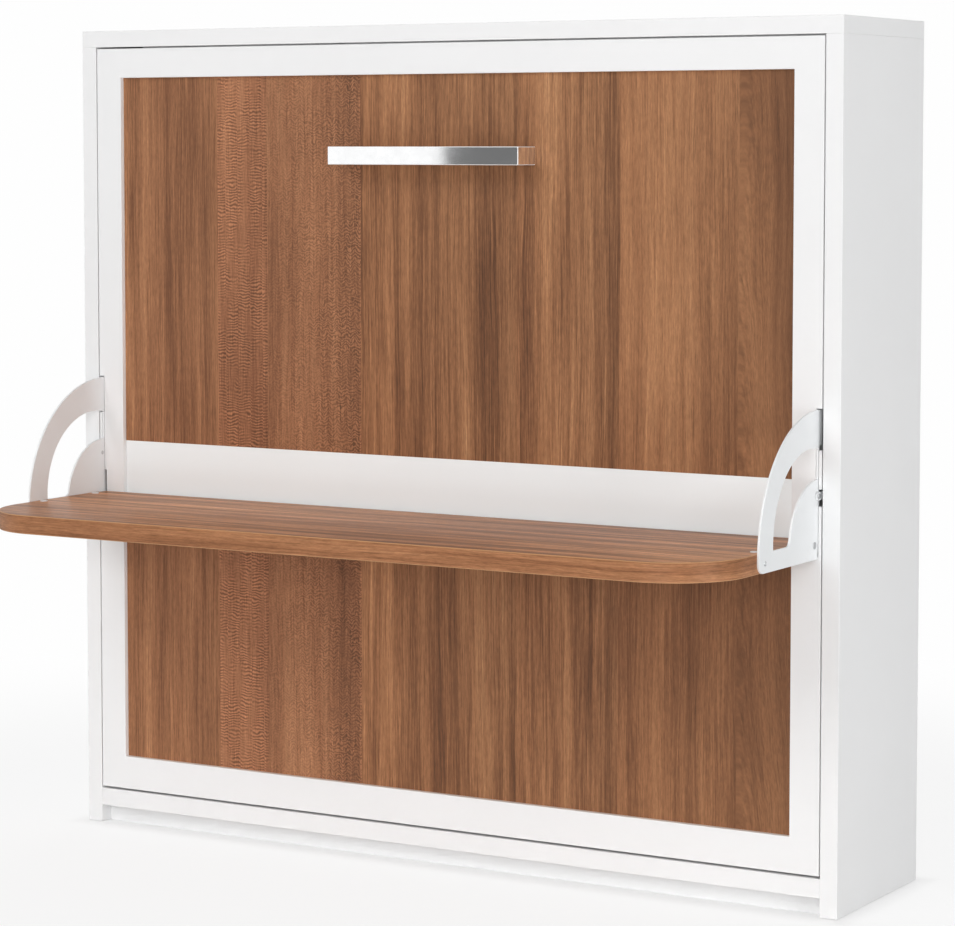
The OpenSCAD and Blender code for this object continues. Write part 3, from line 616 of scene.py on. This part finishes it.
def joined_front(nodes):
    """One seamless board in the plane of the front, from members of one thickness that meet
    edge to edge."""
    trees, xs, zs = [], set(), set()
    low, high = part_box(nodes[0])
    for n in nodes:
        bm = solid(n)
        trees.append(BVHTree.FromBMesh(bm))
        for v in bm.verts:
            xs.add(round(v.co.x, 5))
            zs.add(round(v.co.z, 5))
        bm.free()
    xs, zs = sorted(xs), sorted(zs)

    def filled(i, k):
        if not (0 <= i < len(xs) - 1 and 0 <= k < len(zs) - 1):
            return False
        at = Vector(((xs[i] + xs[i + 1]) / 2, BEFORE_FRONT, (zs[k] + zs[k + 1]) / 2))
        return any(t.ray_cast(at, Vector((0, 1, 0)))[0] is not None for t in trees)

    bm = bmesh.new()
    made = {}

    def vert(i, k, y):
        key = (i, k, y)
        if key not in made:
            made[key] = bm.verts.new((xs[i], y, zs[k]))
        return made[key]

    y0, y1 = low.y, high.y
    for i in range(len(xs) - 1):
        for k in range(len(zs) - 1):
            if not filled(i, k):
                continue
            a, b, c, d = (i, k), (i + 1, k), (i + 1, k + 1), (i, k + 1)
            bm.faces.new([vert(*p, y0) for p in (a, b, c, d)])
            bm.faces.new([vert(*p, y1) for p in (d, c, b, a)])
            beside = ((a, b, (0, -1)), (b, c, (1, 0)), (c, d, (0, 1)), (d, a, (-1, 0)))
            for p, q, (di, dk) in beside:
                if not filled(i + di, k + dk):
                    bm.faces.new([vert(*p, y0), vert(*p, y1), vert(*q, y1), vert(*q, y0)])
    bmesh.ops.recalc_face_normals(bm, faces=bm.faces)
    merge_flat(bm)
    return bm


# ---------------------------------------------------------------- pieces

# how far edges are rounded, in millimetres
BOARD_EDGE, PANEL_EDGE, DESK_EDGE, SLAT_EDGE = 0.9, 0.5, 2.0, 1.5
HANDLE_EDGE, BRACKET_EDGE, SMALL_EDGE = 2.6, 0.6, 0.4

BOARDS = [
    "cabinet_side_left", "cabinet_side_right", "top_board", "base_rail", "plinth_board",
    "floor_board", "back_panel", "upper_back_rail", "lower_back_rail", "stop_strip",
    "front_lining", "box_side_left", "box_side_right", "box_head_board", "box_foot_board",
]
for name in BOARDS:
    dress(name, BOARD_EDGE)
MEMBERS = ["front_stile_left", "front_stile_right", "front_top_rail", "front_bottom_rail"]
front_board = soften(joined_front(MEMBERS), BOARD_EDGE * MM)
front_frame = piece("front_frame_made", front_board, "white_board", "bed")
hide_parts(*MEMBERS)
dress("upper_inset", PANEL_EDGE, grain=run_by_axis(2), board=0.0)
dress("lower_inset", PANEL_EDGE, grain=run_by_axis(2), board=1.0)
# the band takes the white that is painted lighter and bluer, as painted light
dress("middle_band", BOARD_EDGE, material="band_white_painted_lighter")
dress("desk_board", DESK_EDGE, 3, material="desk_veneer", grain=desk_run)
for name in ("slat_ledges", "slats_set"):
    dress(name, SLAT_EDGE, grain=run_by_axis(0), board=2.0)
for name in ("bracket_left", "bracket_right"):
    dress(name, BRACKET_EDGE, 3)
dress("pull_handle", HANDLE_EDGE)
HARDWARE = [
    "levelling_feet", "cabinet_pivot_plates", "main_pivot_pins", "bar_anchor_pins",
    "wall_fixing_plates", "gas_cylinder_left", "gas_cylinder_right", "cylinder_clamps",
    "lifter_rod_left", "lifter_rod_right", "centre_beam", "bed_pivot_plates", "desk_hinge_plates",
    "lifter_rollers", "handle_screws", "desk_hinge_pins", "bar_pins", "levelling_bar_left",
    "levelling_bar_right", "leg_hinge_blocks", "leg_hinge_pins", "leg_frame", "leg_sleeves",
    "stop_bumpers",
]
for name in HARDWARE:
    dress(name, SMALL_EDGE)


def islands(bm):
    """The separate solids of a mesh, as lists of vertices, in the order of the mesh."""
    seen, out = set(), []
    for first in bm.verts:
        if first in seen:
            continue
        seen.add(first)
        stack, group = [first], []
        while stack:
            v = stack.pop()
            group.append(v)
            for e in v.link_edges:
                w = e.other_vert(v)
                if w not in seen:
                    seen.add(w)
                    stack.append(w)
        out.append(group)
    return out


def corners(group):
    """The low and high corner of the box round some vertices."""
    return (Vector(pick(v.co[a] for v in group) for a in range(3)) for pick in (min, max))


def lathe(bm, centre, axis, profile, sides):
    """A turned shape. The profile is a list of (distance along the axis, radius), and a radius of
    0 closes it."""
    turn = Vector((0, 0, 1)).rotation_difference(Vector(axis)).to_matrix()
    angles = [2 * math.pi * k / sides for k in range(sides)]
    rings = []
    for far, radius in profile:
        spots = [(radius * math.cos(a), radius * math.sin(a), far) for a in angles]
        if radius == 0:
            spots = [(0, 0, far)]
        rings.append([bm.verts.new(Vector(centre) + turn @ Vector(spot)) for spot in spots])
    for a, b in zip(rings, rings[1:]):
        for k in range(sides):
            n = (k + 1) % sides
            ring = [a[k % len(a)], a[n % len(a)], b[n % len(b)], b[k % len(b)]]
            ring = [v for i, v in enumerate(ring) if v not in ring[:i]]
            if len(ring) > 2:
                bm.faces.new(ring)


def turned(node, add):
    """Puts a turned shape in place of each solid of a node."""
    source = solid(node)
    bm = bmesh.new()
    for group in islands(source):
        add(bm, group, *corners(group))
    source.free()
    bmesh.ops.recalc_face_normals(bm, faces=bm.faces)
    obj = piece(node + "_made", bm, material_of(node), BODY_OF[node])
    obj.data.set_sharp_from_angle(angle=CREASE)
    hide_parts(node)


# a cap's outline above its seat: (millimetres up, share of the lid's radius)
CAP_RIM = [(1.2, 1), (1.8, 0.95), (2.0, 0.84), (1.8, 0.74), (1.2, 0.68), (1.2, 0)]
CAP_LID, CAP_STEP = 0.8 * MM, 1.5 * MM  # the lid's thickness, and how far it laps over its stem


def cap(bm, group, low, high):
    """A round cap with a raised rim over a dowel fitting in the desk's top."""
    lid = (high.x - low.x) / 2
    stem = lid - CAP_STEP
    seat = high.z - low.z - CAP_LID
    profile = [(0, 0), (0, stem), (seat, stem), (seat, lid)]
    profile += [(seat + up * MM, lid * share) for up, share in CAP_RIM]
    centre = ((low.x + high.x) / 2, (low.y + high.y) / 2, low.z)
    lathe(bm, centre, (0, 0, 1), profile, 40)


HEAD_THICK = 2.2 * MM
SOCKET_DEPTH = 0.92 * HEAD_THICK
AXIS = 1e-4  # points nearer than this to a screw's middle line lie on it


def screw(bm, group, low, high):
    """A domed screw head with a socket, on the plate where its solid has one."""
    middle, out = (low + high) / 2, 1 if high.x > 0 else -1
    head = (high.y - low.y) / 2
    reaches = [math.hypot(v.co.y - middle.y, v.co.z - middle.z) for v in group]
    shank = min((r for r in reaches if r > AXIS), default=head * 0.6)
    length = high.x - low.x
    inner = low.x if out > 0 else high.x
    under = length - HEAD_THICK
    lathe(bm, (inner, middle.y, middle.z), (out, 0, 0), [
        (0, 0), (0, shank * 0.8), (shank * 0.3, shank), (under, shank),
        (under, head * 0.98), (under + 0.5 * MM, head),
        (under + HEAD_THICK * 0.45, head * 0.97), (under + HEAD_THICK * 0.8, head * 0.86),
        (length, head * 0.6), (length, head * 0.54),
        (length - SOCKET_DEPTH, head * 0.42), (length - SOCKET_DEPTH, 0),
    ], 36)


turned("bracket_screws", screw)
turned("dowel_caps", cap)


# ---------------------------------------------------------------- soft pieces


def block(bm, low, high, radius=0.0, segments=2):
    """A box between two corners with rounded edges."""
    made = bmesh.ops.create_cube(bm, size=1.0)["verts"]
    low, high = Vector(low), Vector(high)
    for v in made:
        v.co = (low + high) / 2 + Vector(a * b for a, b in zip(v.co, high - low))
    if radius:
        edges = dict.fromkeys(e for v in made for e in v.link_edges)
        round_edges(bm, list(edges), radius, segments)


def evaluated(obj):
    """The object's mesh with its modifiers applied."""
    graph = bpy.context.evaluated_depsgraph_get()
    return bpy.data.meshes.new_from_object(obj.evaluated_get(graph))


def per_point(mesh, what="co"):
    """A vector of each point of a mesh, as rows."""
    out = np.empty(len(mesh.vertices) * 3)
    mesh.vertices.foreach_get(what, out)
    return out.reshape(-1, 3)


def settle(obj, mesh):
    """Gives the object another mesh and no modifiers."""
    obj.modifiers.clear()
    old, obj.data = obj.data, mesh
    bpy.data.meshes.remove(old)


def swell(obj, voxel, cap, pressure=4.0, frames=20):
    """Fills a closed shape like padding under cloth. No point moves further than the cap."""
    remesh = obj.modifiers.new("remesh", "REMESH")
    remesh.mode = "VOXEL"
    remesh.voxel_size = voxel
    settle(obj, evaluated(obj))
    before = per_point(obj.data)
    cloth = obj.modifiers.new("cloth", "CLOTH")
    cloth.settings.use_pressure = True
    cloth.settings.uniform_pressure_force = pressure
    cloth.settings.effector_weights.gravity = 0
    cloth.collision_settings.use_collision = False
    cloth.point_cache.frame_start = 1
    cloth.point_cache.frame_end = frames
    for f in range(1, frames + 1):
        bpy.context.scene.frame_set(f)
    after = per_point(evaluated(obj))
    bpy.context.scene.frame_set(1)
    move = after - before
    far = np.linalg.norm(move, axis=1, keepdims=True)
    move *= np.minimum(1, cap / np.maximum(far, 1e-9))
    obj.modifiers.clear()
    obj.data.vertices.foreach_set("co", (before + move).ravel())
    finer = obj.modifiers.new("finer", "SUBSURF")
    finer.levels = 1
    settle(obj, evaluated(obj))


def step(value, low, high):
    """A smooth step from 0 at low to 1 at high."""
    t = np.clip((value - low) / (high - low), 0, 1)
    return t * t * (3 - 2 * t)


def bell(value, width):
    return np.exp(-((value / width) ** 2))


def tape_layer(bm):
    return bm.loops.layers.float_vector.get("tape") or bm.loops.layers.float_vector.new("tape")


def tube(bm, path, radius, sides=8):
    """A closed round cord along a loop of points that lies in a plane across y."""
    rings, run, runs = [], 0.0, []
    for i, at in enumerate(path):
        ahead = (path[(i + 1) % len(path)] - path[i - 1]).normalized()
        side = ahead.cross(Vector((0, 1, 0))).normalized()
        up = side.cross(ahead)
        ring = []
        for k in range(sides):
            turn = 2 * math.pi * k / sides
            ring.append(bm.verts.new(at + radius * (math.cos(turn) * side + math.sin(turn) * up)))
        rings.append(ring)
        runs.append(run)
        run += (path[(i + 1) % len(path)] - at).length
    tape = tape_layer(bm)
    for i, ring in enumerate(rings):
        after = rings[(i + 1) % len(rings)]
        far = runs[i + 1] if i + 1 < len(runs) else run
        for k in range(sides):
            n = (k + 1) % sides
            face = bm.faces.new([ring[k], after[k], after[n], ring[n]])
            spots = ((runs[i], k), (far, k), (far, k + 1), (runs[i], k + 1))
            for loop, (a, b) in zip(face.loops, spots):
                loop[tape] = (a, b * radius * 0.8, 0.3)


STRAP_WIDTH, STRAP_THICK = 0.040, 0.0015
STRAP_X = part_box("mattress_straps")[1].x - STRAP_WIDTH / 2

# what the raw block leaves free inside the node's box for the padding to swell into
SWELL_SIDES, SWELL_BACK, SWELL_FRONT = 0.011, 0.004, 0.0135
KEEP_BACK, KEEP_FRONT = 0.0008, 0.0006  # how far the padding stays inside the node's box
CORNER, RIM = 0.075, 0.03  # the mattress's upright corners and the edges of its two faces
VOXEL, CROWN = 0.017, 0.013  # the cloth's mesh, and the most that the padding lifts it
GROOVE_DEPTH, GROOVE_WIDTH = 0.0075, 0.016
SEAM_WIDTH = 0.014  # the groove along the quilted face's margin
SIDE_SEAMS, SIDE_SEAM_DEPTH, SIDE_SEAM_WIDTH = (-0.045, 0.045), 0.0045, 0.010
STRAP_PRESS, PRESS_FROM, PRESS_TO = 0.004, 0.045, 0.018  # the dent under a strap, across it
PIPING_INSET, PIPING_RADIUS, PIPING_LIFT = 0.024, 0.0052, 0.0015
PIPING_STEP = 0.03


def dented(at, normal, low, high):
    """The padding's points with its quilting, its seams and the straps pressed in, and how far
    each lies in the quilted face."""
    middle, half = (low + high) / 2, (high - low) / 2
    facing = np.abs(normal[:, 1])
    x, y, z = at[:, 0], at[:, 1], at[:, 2]
    inside = np.minimum(half.x - np.abs(x - middle.x), half.z - np.abs(z - middle.z))
    quilted = step(facing, 0.86, 0.97) * step(inside, BORDER * 0.6, BORDER)
    groove = np.zeros(len(at))
    for sign in (1, -1):
        u = (x + sign * z) * math.sqrt(0.5)
        off = np.abs((u / QUILT + 0.5) % 1.0 - 0.5) * QUILT
        groove = np.maximum(groove, bell(off, GROOVE_WIDTH))
    rim = bell(inside - BORDER * 0.85, SEAM_WIDTH) * step(facing, 0.8, 0.95)
    press = GROOVE_DEPTH * np.maximum(groove * quilted, rim)
    for level in SIDE_SEAMS:
        seam = bell(y - middle.y - level, SIDE_SEAM_WIDTH)
        press += SIDE_SEAM_DEPTH * step(facing, 0.6, 0.3) * seam
    for x_strap in (-STRAP_X, STRAP_X):
        under = step(np.abs(x - x_strap), PRESS_FROM, PRESS_TO)
        press += STRAP_PRESS * under * step(normal[:, 1], 0.3, 0.9)
    at -= normal * press[:, None]
    at[:, 1] = np.clip(at[:, 1], low.y + KEEP_BACK, high.y - KEEP_FRONT)
    return at, quilted


def border_path(half, y):
    """Points round the mattress's faces at one height, no further apart than the piping's step."""
    path = []
    for cx, cz, start in ((1, 1, 0), (-1, 1, 90), (-1, -1, 180), (1, -1, 270)):
        for k in range(13):
            turn = math.radians(start + k * 7.5)
            path.append(Vector((
                cx * (half.x - CORNER) + CORNER * math.cos(turn), y,
                cz * (half.z - CORNER) + CORNER * math.sin(turn),
            )))
    dense = []
    for a, b in zip(path, path[1:] + path[:1]):
        count = max(1, round((b - a).length / PIPING_STEP))
        dense += [a.lerp(b, k / count) for k in range(count)]
    return dense


def mattress():
    low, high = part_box("mattress")
    middle, half = (low + high) / 2, (high - low) / 2
    bm = bmesh.new()
    block(
        bm, low + Vector((SWELL_SIDES, SWELL_BACK, SWELL_SIDES)),
        high - Vector((SWELL_SIDES, SWELL_FRONT, SWELL_SIDES)),
    )
    upright = [e for e in bm.edges if abs(e.verts[0].co.y - e.verts[1].co.y) > half.y]
    round_edges(bm, upright, CORNER, 6)
    rims = [e for e in bm.edges if abs(e.verts[0].co.y - e.verts[1].co.y) < WELD]
    round_edges(bm, rims, RIM, 4)
    obj = piece("mattress_made", bm, "ticking", "bed", smooth=False)
    swell(obj, VOXEL, CROWN)
    mesh = obj.data
    at, quilted = dented(per_point(mesh), per_point(mesh, "normal"), low, high)
    mesh.vertices.foreach_set("co", at.ravel())
    layer = mesh.attributes.new("quilted", "FLOAT", "POINT")
    layer.data.foreach_set("value", quilted)
    mesh.shade_smooth()
    mesh.update()

    # piping where the faces meet the border, laid on the padding's own surface
    tree = BVHTree.FromPolygons([Vector(p) for p in at], [tuple(f.vertices) for f in mesh.polygons])
    bm = bmesh.new()
    for y in (low.y + PIPING_INSET, high.y - PIPING_INSET):
        on = []
        for a in border_path(half, y):
            hit, out, _, _ = tree.find_nearest(a + middle - Vector((0, middle.y, 0)))
            on.append(hit + out * PIPING_LIFT)
        for _ in range(2):
            on = [(on[i - 1] + on[i] * 2 + on[(i + 1) % len(on)]) / 4 for i in range(len(on))]
        tube(bm, on, PIPING_RADIUS)
    bmesh.ops.recalc_face_normals(bm, faces=bm.faces)
    piping = piece("mattress_piping", bm, "piping", "bed")
    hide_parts("mattress")


mattress()


# a strap's section: (share of the width from its middle, share of half the thickness)
SECTION = [
    (-0.5, 0.0), (-0.49, 0.6), (-0.455, 1.0), (-0.42, 0.75), (-0.2, 0.7),
    (0.2, 0.7), (0.42, 0.75), (0.455, 1.0), (0.49, 0.6), (0.5, 0.0),
]
SECTION += [(a, -b) for a, b in reversed(SECTION[1:-1])]
SELVEDGE = 0.44


def ribbon(bm, path, x, width, thick):
    """Flat webbing along a path of (y, z) points at one x, with a plump selvedge at either side."""
    tape = tape_layer(bm)
    rings, runs, run = [], [], 0.0
    for i, (y, z) in enumerate(path):
        before, after = path[max(i - 1, 0)], path[min(i + 1, len(path) - 1)]
        ahead = Vector((0, after[0] - before[0], after[1] - before[1])).normalized()
        out = Vector((1, 0, 0)).cross(ahead)
        rings.append([
            bm.verts.new(Vector((x + a * width, y, z)) + out * b * thick / 2) for a, b in SECTION
        ])
        runs.append(run)
        if i + 1 < len(path):
            run += math.dist(path[i], path[i + 1])
    count = len(SECTION)
    for i in range(len(rings) - 1):
        for k in range(count):
            n = (k + 1) % count
            face = bm.faces.new([rings[i][k], rings[i][n], rings[i + 1][n], rings[i + 1][k]])
            spots = ((runs[i], k), (runs[i], n), (runs[i + 1], n), (runs[i + 1], k))
            for loop, (a, m) in zip(face.loops, spots):
                across = SECTION[m][0]
                loop[tape] = (a, across * width, 1.0 if abs(across) > SELVEDGE else 0.0)
    bm.faces.new(rings[0])
    bm.faces.new(list(reversed(rings[-1])))


STRAP_BEND = 0.014  # radius of the strap's turn over the mattress's edge
TAIL_SEGMENTS, TAIL_STEP = 16, 0.011  # of the strap's end, which lies doubled beyond the buckle
LOOPS, LOOP_HALF = (0.19, 0.165), 0.006  # keepers: how far below the buckle, and half their height
BUCKLE_HALF = 0.026  # half a buckle's width


def strap_path(low, high):
    """Up the mattress's one end, over its face and down its other end, as (y, z) points."""
    top, bend = high.y - STRAP_THICK / 2, STRAP_BEND
    first, last = low.z + STRAP_THICK / 2, high.z - STRAP_THICK / 2
    rise = top - bend - low.y
    span = last - first - 2 * bend
    path = [(low.y + k * rise / 6, first) for k in range(7)]
    for t in np.linspace(0.2, math.pi / 2, 7):
        path.append((top - bend + bend * math.sin(t), first + bend - bend * math.cos(t)))
    path += [(top, first + bend + span * k / 60) for k in range(1, 60)]
    for t in np.linspace(0, math.pi / 2 - 0.2, 7):
        path.append((top - bend + bend * math.cos(t), last - bend + bend * math.sin(t)))
    return path + [(top - bend - rise * k / 6, last) for k in range(7)]


def buckle(bm, x, low, high, middle):
    """A side release buckle: a hollow body, a ladder end and two prongs that show in its sides."""

    def bar(x0, x1, y0, y1, z0, z1, radius, segments):
        """A part of the buckle, by its reach from the buckle's middle, back, front and heights."""
        block(bm, (x + x0, low.y + y0, z0), (x + x1, high.y - y1, z1), radius, segments)

    wide = BUCKLE_HALF
    bar(-wide + 0.005, wide - 0.005, 0, 0, middle - 0.004, high.z - 0.008, 0.0018, 3)
    bar(-wide, wide, 0.0004, 0.0006, high.z - 0.012, high.z, 0.0018, 3)
    bar(-wide, wide, 0.0006, 0.0004, middle - 0.010, middle - 0.003, 0.0016, 3)
    for k in (-1, 1):
        arm, prong = k * (wide - 0.0022), k * (wide - 0.003)
        bar(arm - 0.0022, arm + 0.0022, 0.001, 0.0012, middle - 0.006, high.z - 0.010, 0.0012, 2)
        bar(prong - 0.003, prong + 0.003, 0, 0.0008, low.z, middle - 0.008, 0.0014, 2)
    for z in (low.z + 0.0025, low.z + 0.011):
        bar(-wide + 0.002, wide - 0.002, 0.0004, 0.0016, z - 0.0022, z + 0.0022, 0.001, 2)
    button = high.y - low.y - 0.0012
    bar(-0.008, 0.008, button, 0.0002, middle + 0.004, middle + 0.014, 0.0004, 1)


def straps():
    low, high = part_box("mattress_straps")
    buckle_low, buckle_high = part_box("strap_buckles")
    middle = (buckle_low.z + buckle_high.z) / 2
    top, wide = high.y - STRAP_THICK / 2, STRAP_WIDTH * 0.54
    doubled = [
        (top + STRAP_THICK * 1.15 + 0.0006 * math.sin(k * 0.9), middle - 0.02 - k * TAIL_STEP)
        for k in range(TAIL_SEGMENTS + 1)
    ]
    bm = bmesh.new()
    for x in (-STRAP_X, STRAP_X):
        ribbon(bm, strap_path(low, high), x, STRAP_WIDTH, STRAP_THICK)
        ribbon(bm, doubled, x, STRAP_WIDTH, STRAP_THICK)
        for z in (middle - below for below in LOOPS):
            block(
                bm, (x - wide, top - STRAP_THICK * 0.4, z - LOOP_HALF),
                (x + wide, top + STRAP_THICK * 2.3, z + LOOP_HALF), 0.0007, 1,
            )
    bmesh.ops.recalc_face_normals(bm, faces=bm.faces)
    bands = piece("mattress_straps_made", bm, "webbing", "bed")
    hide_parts("mattress_straps")

    bm = bmesh.new()
    for x in (-STRAP_X, STRAP_X):
        buckle(bm, x, buckle_low, buckle_high, middle)
    buckles = piece("strap_buckles_made", bm, "plastic", "bed")
    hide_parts("strap_buckles")


straps()


# ---------------------------------------------------------------- studio


def stage_plane(name, corners, mat):
    mesh = bpy.data.meshes.new(name)
    mesh.from_pydata(corners, [], [(0, 1, 2, 3)])
    mesh.materials.append(mat)
    obj = bpy.data.objects.new(name, mesh)
    COLLECTION.objects.link(obj)
    return obj


PAPER = (0.992, 0.992, 0.992, 1)
NEAR_GLOW = 0.84  # the share of plain white that the camera sees in the floor beside the object
FADE_FROM, FADE_TO = 1.6, 3.4  # metres from the object over which the floor runs into white
FOOT_GLOW = 0.5  # what is left of that share under the cabinet's edge
FOOT_FROM, FOOT_TO = -0.03, 0.05  # metres outside the cabinet's foot over which it comes back
FLOOR_REACH = 60
FLOOR_TINTS = (0.885, 0.885, 0.885), (0.9, 0.9, 0.9)


def floor_material():
    """Pale paper that keeps the object's shadow, most of all along the cabinet's foot, and runs
    into the white background further out."""
    s = Shade("studio_floor")
    x, y, _ = s.split(s.place())
    far = s.math("SQRT", s.plus(s.math("POWER", x, 2), s.math("POWER", y, 2)))
    fade = s.times(s.remap(far, FADE_FROM, FADE_TO, smooth=True), 1 - NEAR_GLOW)
    low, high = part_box("cabinet_side_right")
    middle, half = (low.y + high.y) / 2, (high.y - low.y) / 2
    beside = s.minus(s.math("ABSOLUTE", x), high.x)
    before = s.minus(s.math("ABSOLUTE", s.minus(y, middle)), half)
    outside = s.math("MAXIMUM", beside, before)
    foot = s.remap(outside, FOOT_FROM, FOOT_TO, FOOT_GLOW, 1.0)
    glow = s.times(s.plus(NEAR_GLOW, fade), foot)
    seen = s.times(glow, s.add("ShaderNodeLightPath").outputs["Is Camera Ray"])
    base = s.mix(s.noise(s.place(), 40, 2), *FLOOR_TINTS)
    s.set(Base_Color=base, Roughness=0.9, Specular_IOR_Level=0.1)
    white = s.add("ShaderNodeEmission")
    s.put(white.inputs["Color"], PAPER)
    blend = s.add("ShaderNodeMixShader")
    for socket, value in zip(blend.inputs, (seen, s.bsdf.outputs[0], white.outputs[0])):
        s.put(socket, value)
    s.put(s.output.inputs[0], blend.outputs[0])
    return s.mat


r = FLOOR_REACH
stage_plane("floor", [(-r, -r, 0), (r, -r, 0), (r, r, 0), (-r, r, 0)], floor_material())

SOFT_LIGHT = 0.36
world = bpy.data.worlds.new("studio")
bpy.context.scene.world = world
world.use_nodes = True
nodes, link = world.node_tree.nodes, world.node_tree.links.new
nodes.clear()
rays = nodes.new("ShaderNodeLightPath").outputs
soft = nodes.new("ShaderNodeBackground")
soft.inputs["Strength"].default_value = SOFT_LIGHT
white = nodes.new("ShaderNodeBackground")
white.inputs["Color"].default_value = PAPER
seen = rays["Is Camera Ray"]
for kind in ("Is Glossy Ray", "Is Transmission Ray"):
    either = nodes.new("ShaderNodeMath")
    either.operation = "MAXIMUM"
    link(seen, either.inputs[0])
    link(rays[kind], either.inputs[1])
    seen = either.outputs[0]
blend = nodes.new("ShaderNodeMixShader")
for socket, value in zip(blend.inputs, (seen, soft.outputs[0], white.outputs[0])):
    link(value, socket)
link(blend.outputs[0], nodes.new("ShaderNodeOutputWorld").inputs[0])


def softbox(name, at, towards, size, power, spread=180):
    """A rectangular lamp that looks from one place towards another. The spread is in degrees."""
    data = bpy.data.lights.new(name, "AREA")
    data.shape = "RECTANGLE"
    data.size, data.size_y = size
    data.energy = power
    data.spread = math.radians(spread)
    obj = bpy.data.objects.new(name, data)
    COLLECTION.objects.link(obj)
    obj.location = at
    obj.rotation_euler = (Vector(towards) - Vector(at)).to_track_quat("-Z", "Y").to_euler()


# name, place, what it looks at, size, watts
softbox("key", (-2.4, -7.5, 6.4), (0, -0.2, 0.3), (4.6, 4.0), 262)
softbox("front", (3.0, -7.8, 2.2), (-0.5, 0, 0.8), (2.6, 2.0), 184)
softbox("fill", (0.2, -5.6, 0.25), (0, 0, -0.6), (4.6, 0.4), 5.2, spread=44)
softbox("side", (6.6, -1.6, 1.2), (0, -0.1, 0.7), (3.4, 2.2), 134)
softbox("left", (-7.0, -1.0, 1.5), (0, 0, 0.8), (3.0, 2.2), 36)
softbox("back", (-2.0, 6.8, 1.4), (0, 0.4, 0.9), (4.0, 2.4), 220)

# the reflector cards' plane and reach, in metres
CARD_Y, CARD_LOW, CARD_HIGH = -5.03, 0.9, 2.6
CARD_LEFT, CARD_JOINT, CARD_RIGHT = -4.6, -2.955, -0.9


def card(name, x0, x1, strength):
    """A reflector that only glossy surfaces see. It shapes what the handle mirrors."""
    s = Shade(name)
    glow = s.add("ShaderNodeEmission")
    s.put(glow.inputs["Color"], (strength,) * 3)
    s.put(s.output.inputs[0], glow.outputs[0])
    low, high = CARD_LOW, CARD_HIGH
    spots = ((x0, low), (x1, low), (x1, high), (x0, high))
    obj = stage_plane(name, [(x, CARD_Y, z) for x, z in spots], s.mat)
    obj.visible_camera = obj.visible_diffuse = obj.visible_shadow = False
    obj.visible_transmission = obj.visible_volume_scatter = False


card("white_card", CARD_LEFT, CARD_JOINT, strength=1.1)
card("grey_card", CARD_JOINT, CARD_RIGHT, strength=0.19)

bpy.context.scene.view_settings.view_transform = "Standard"
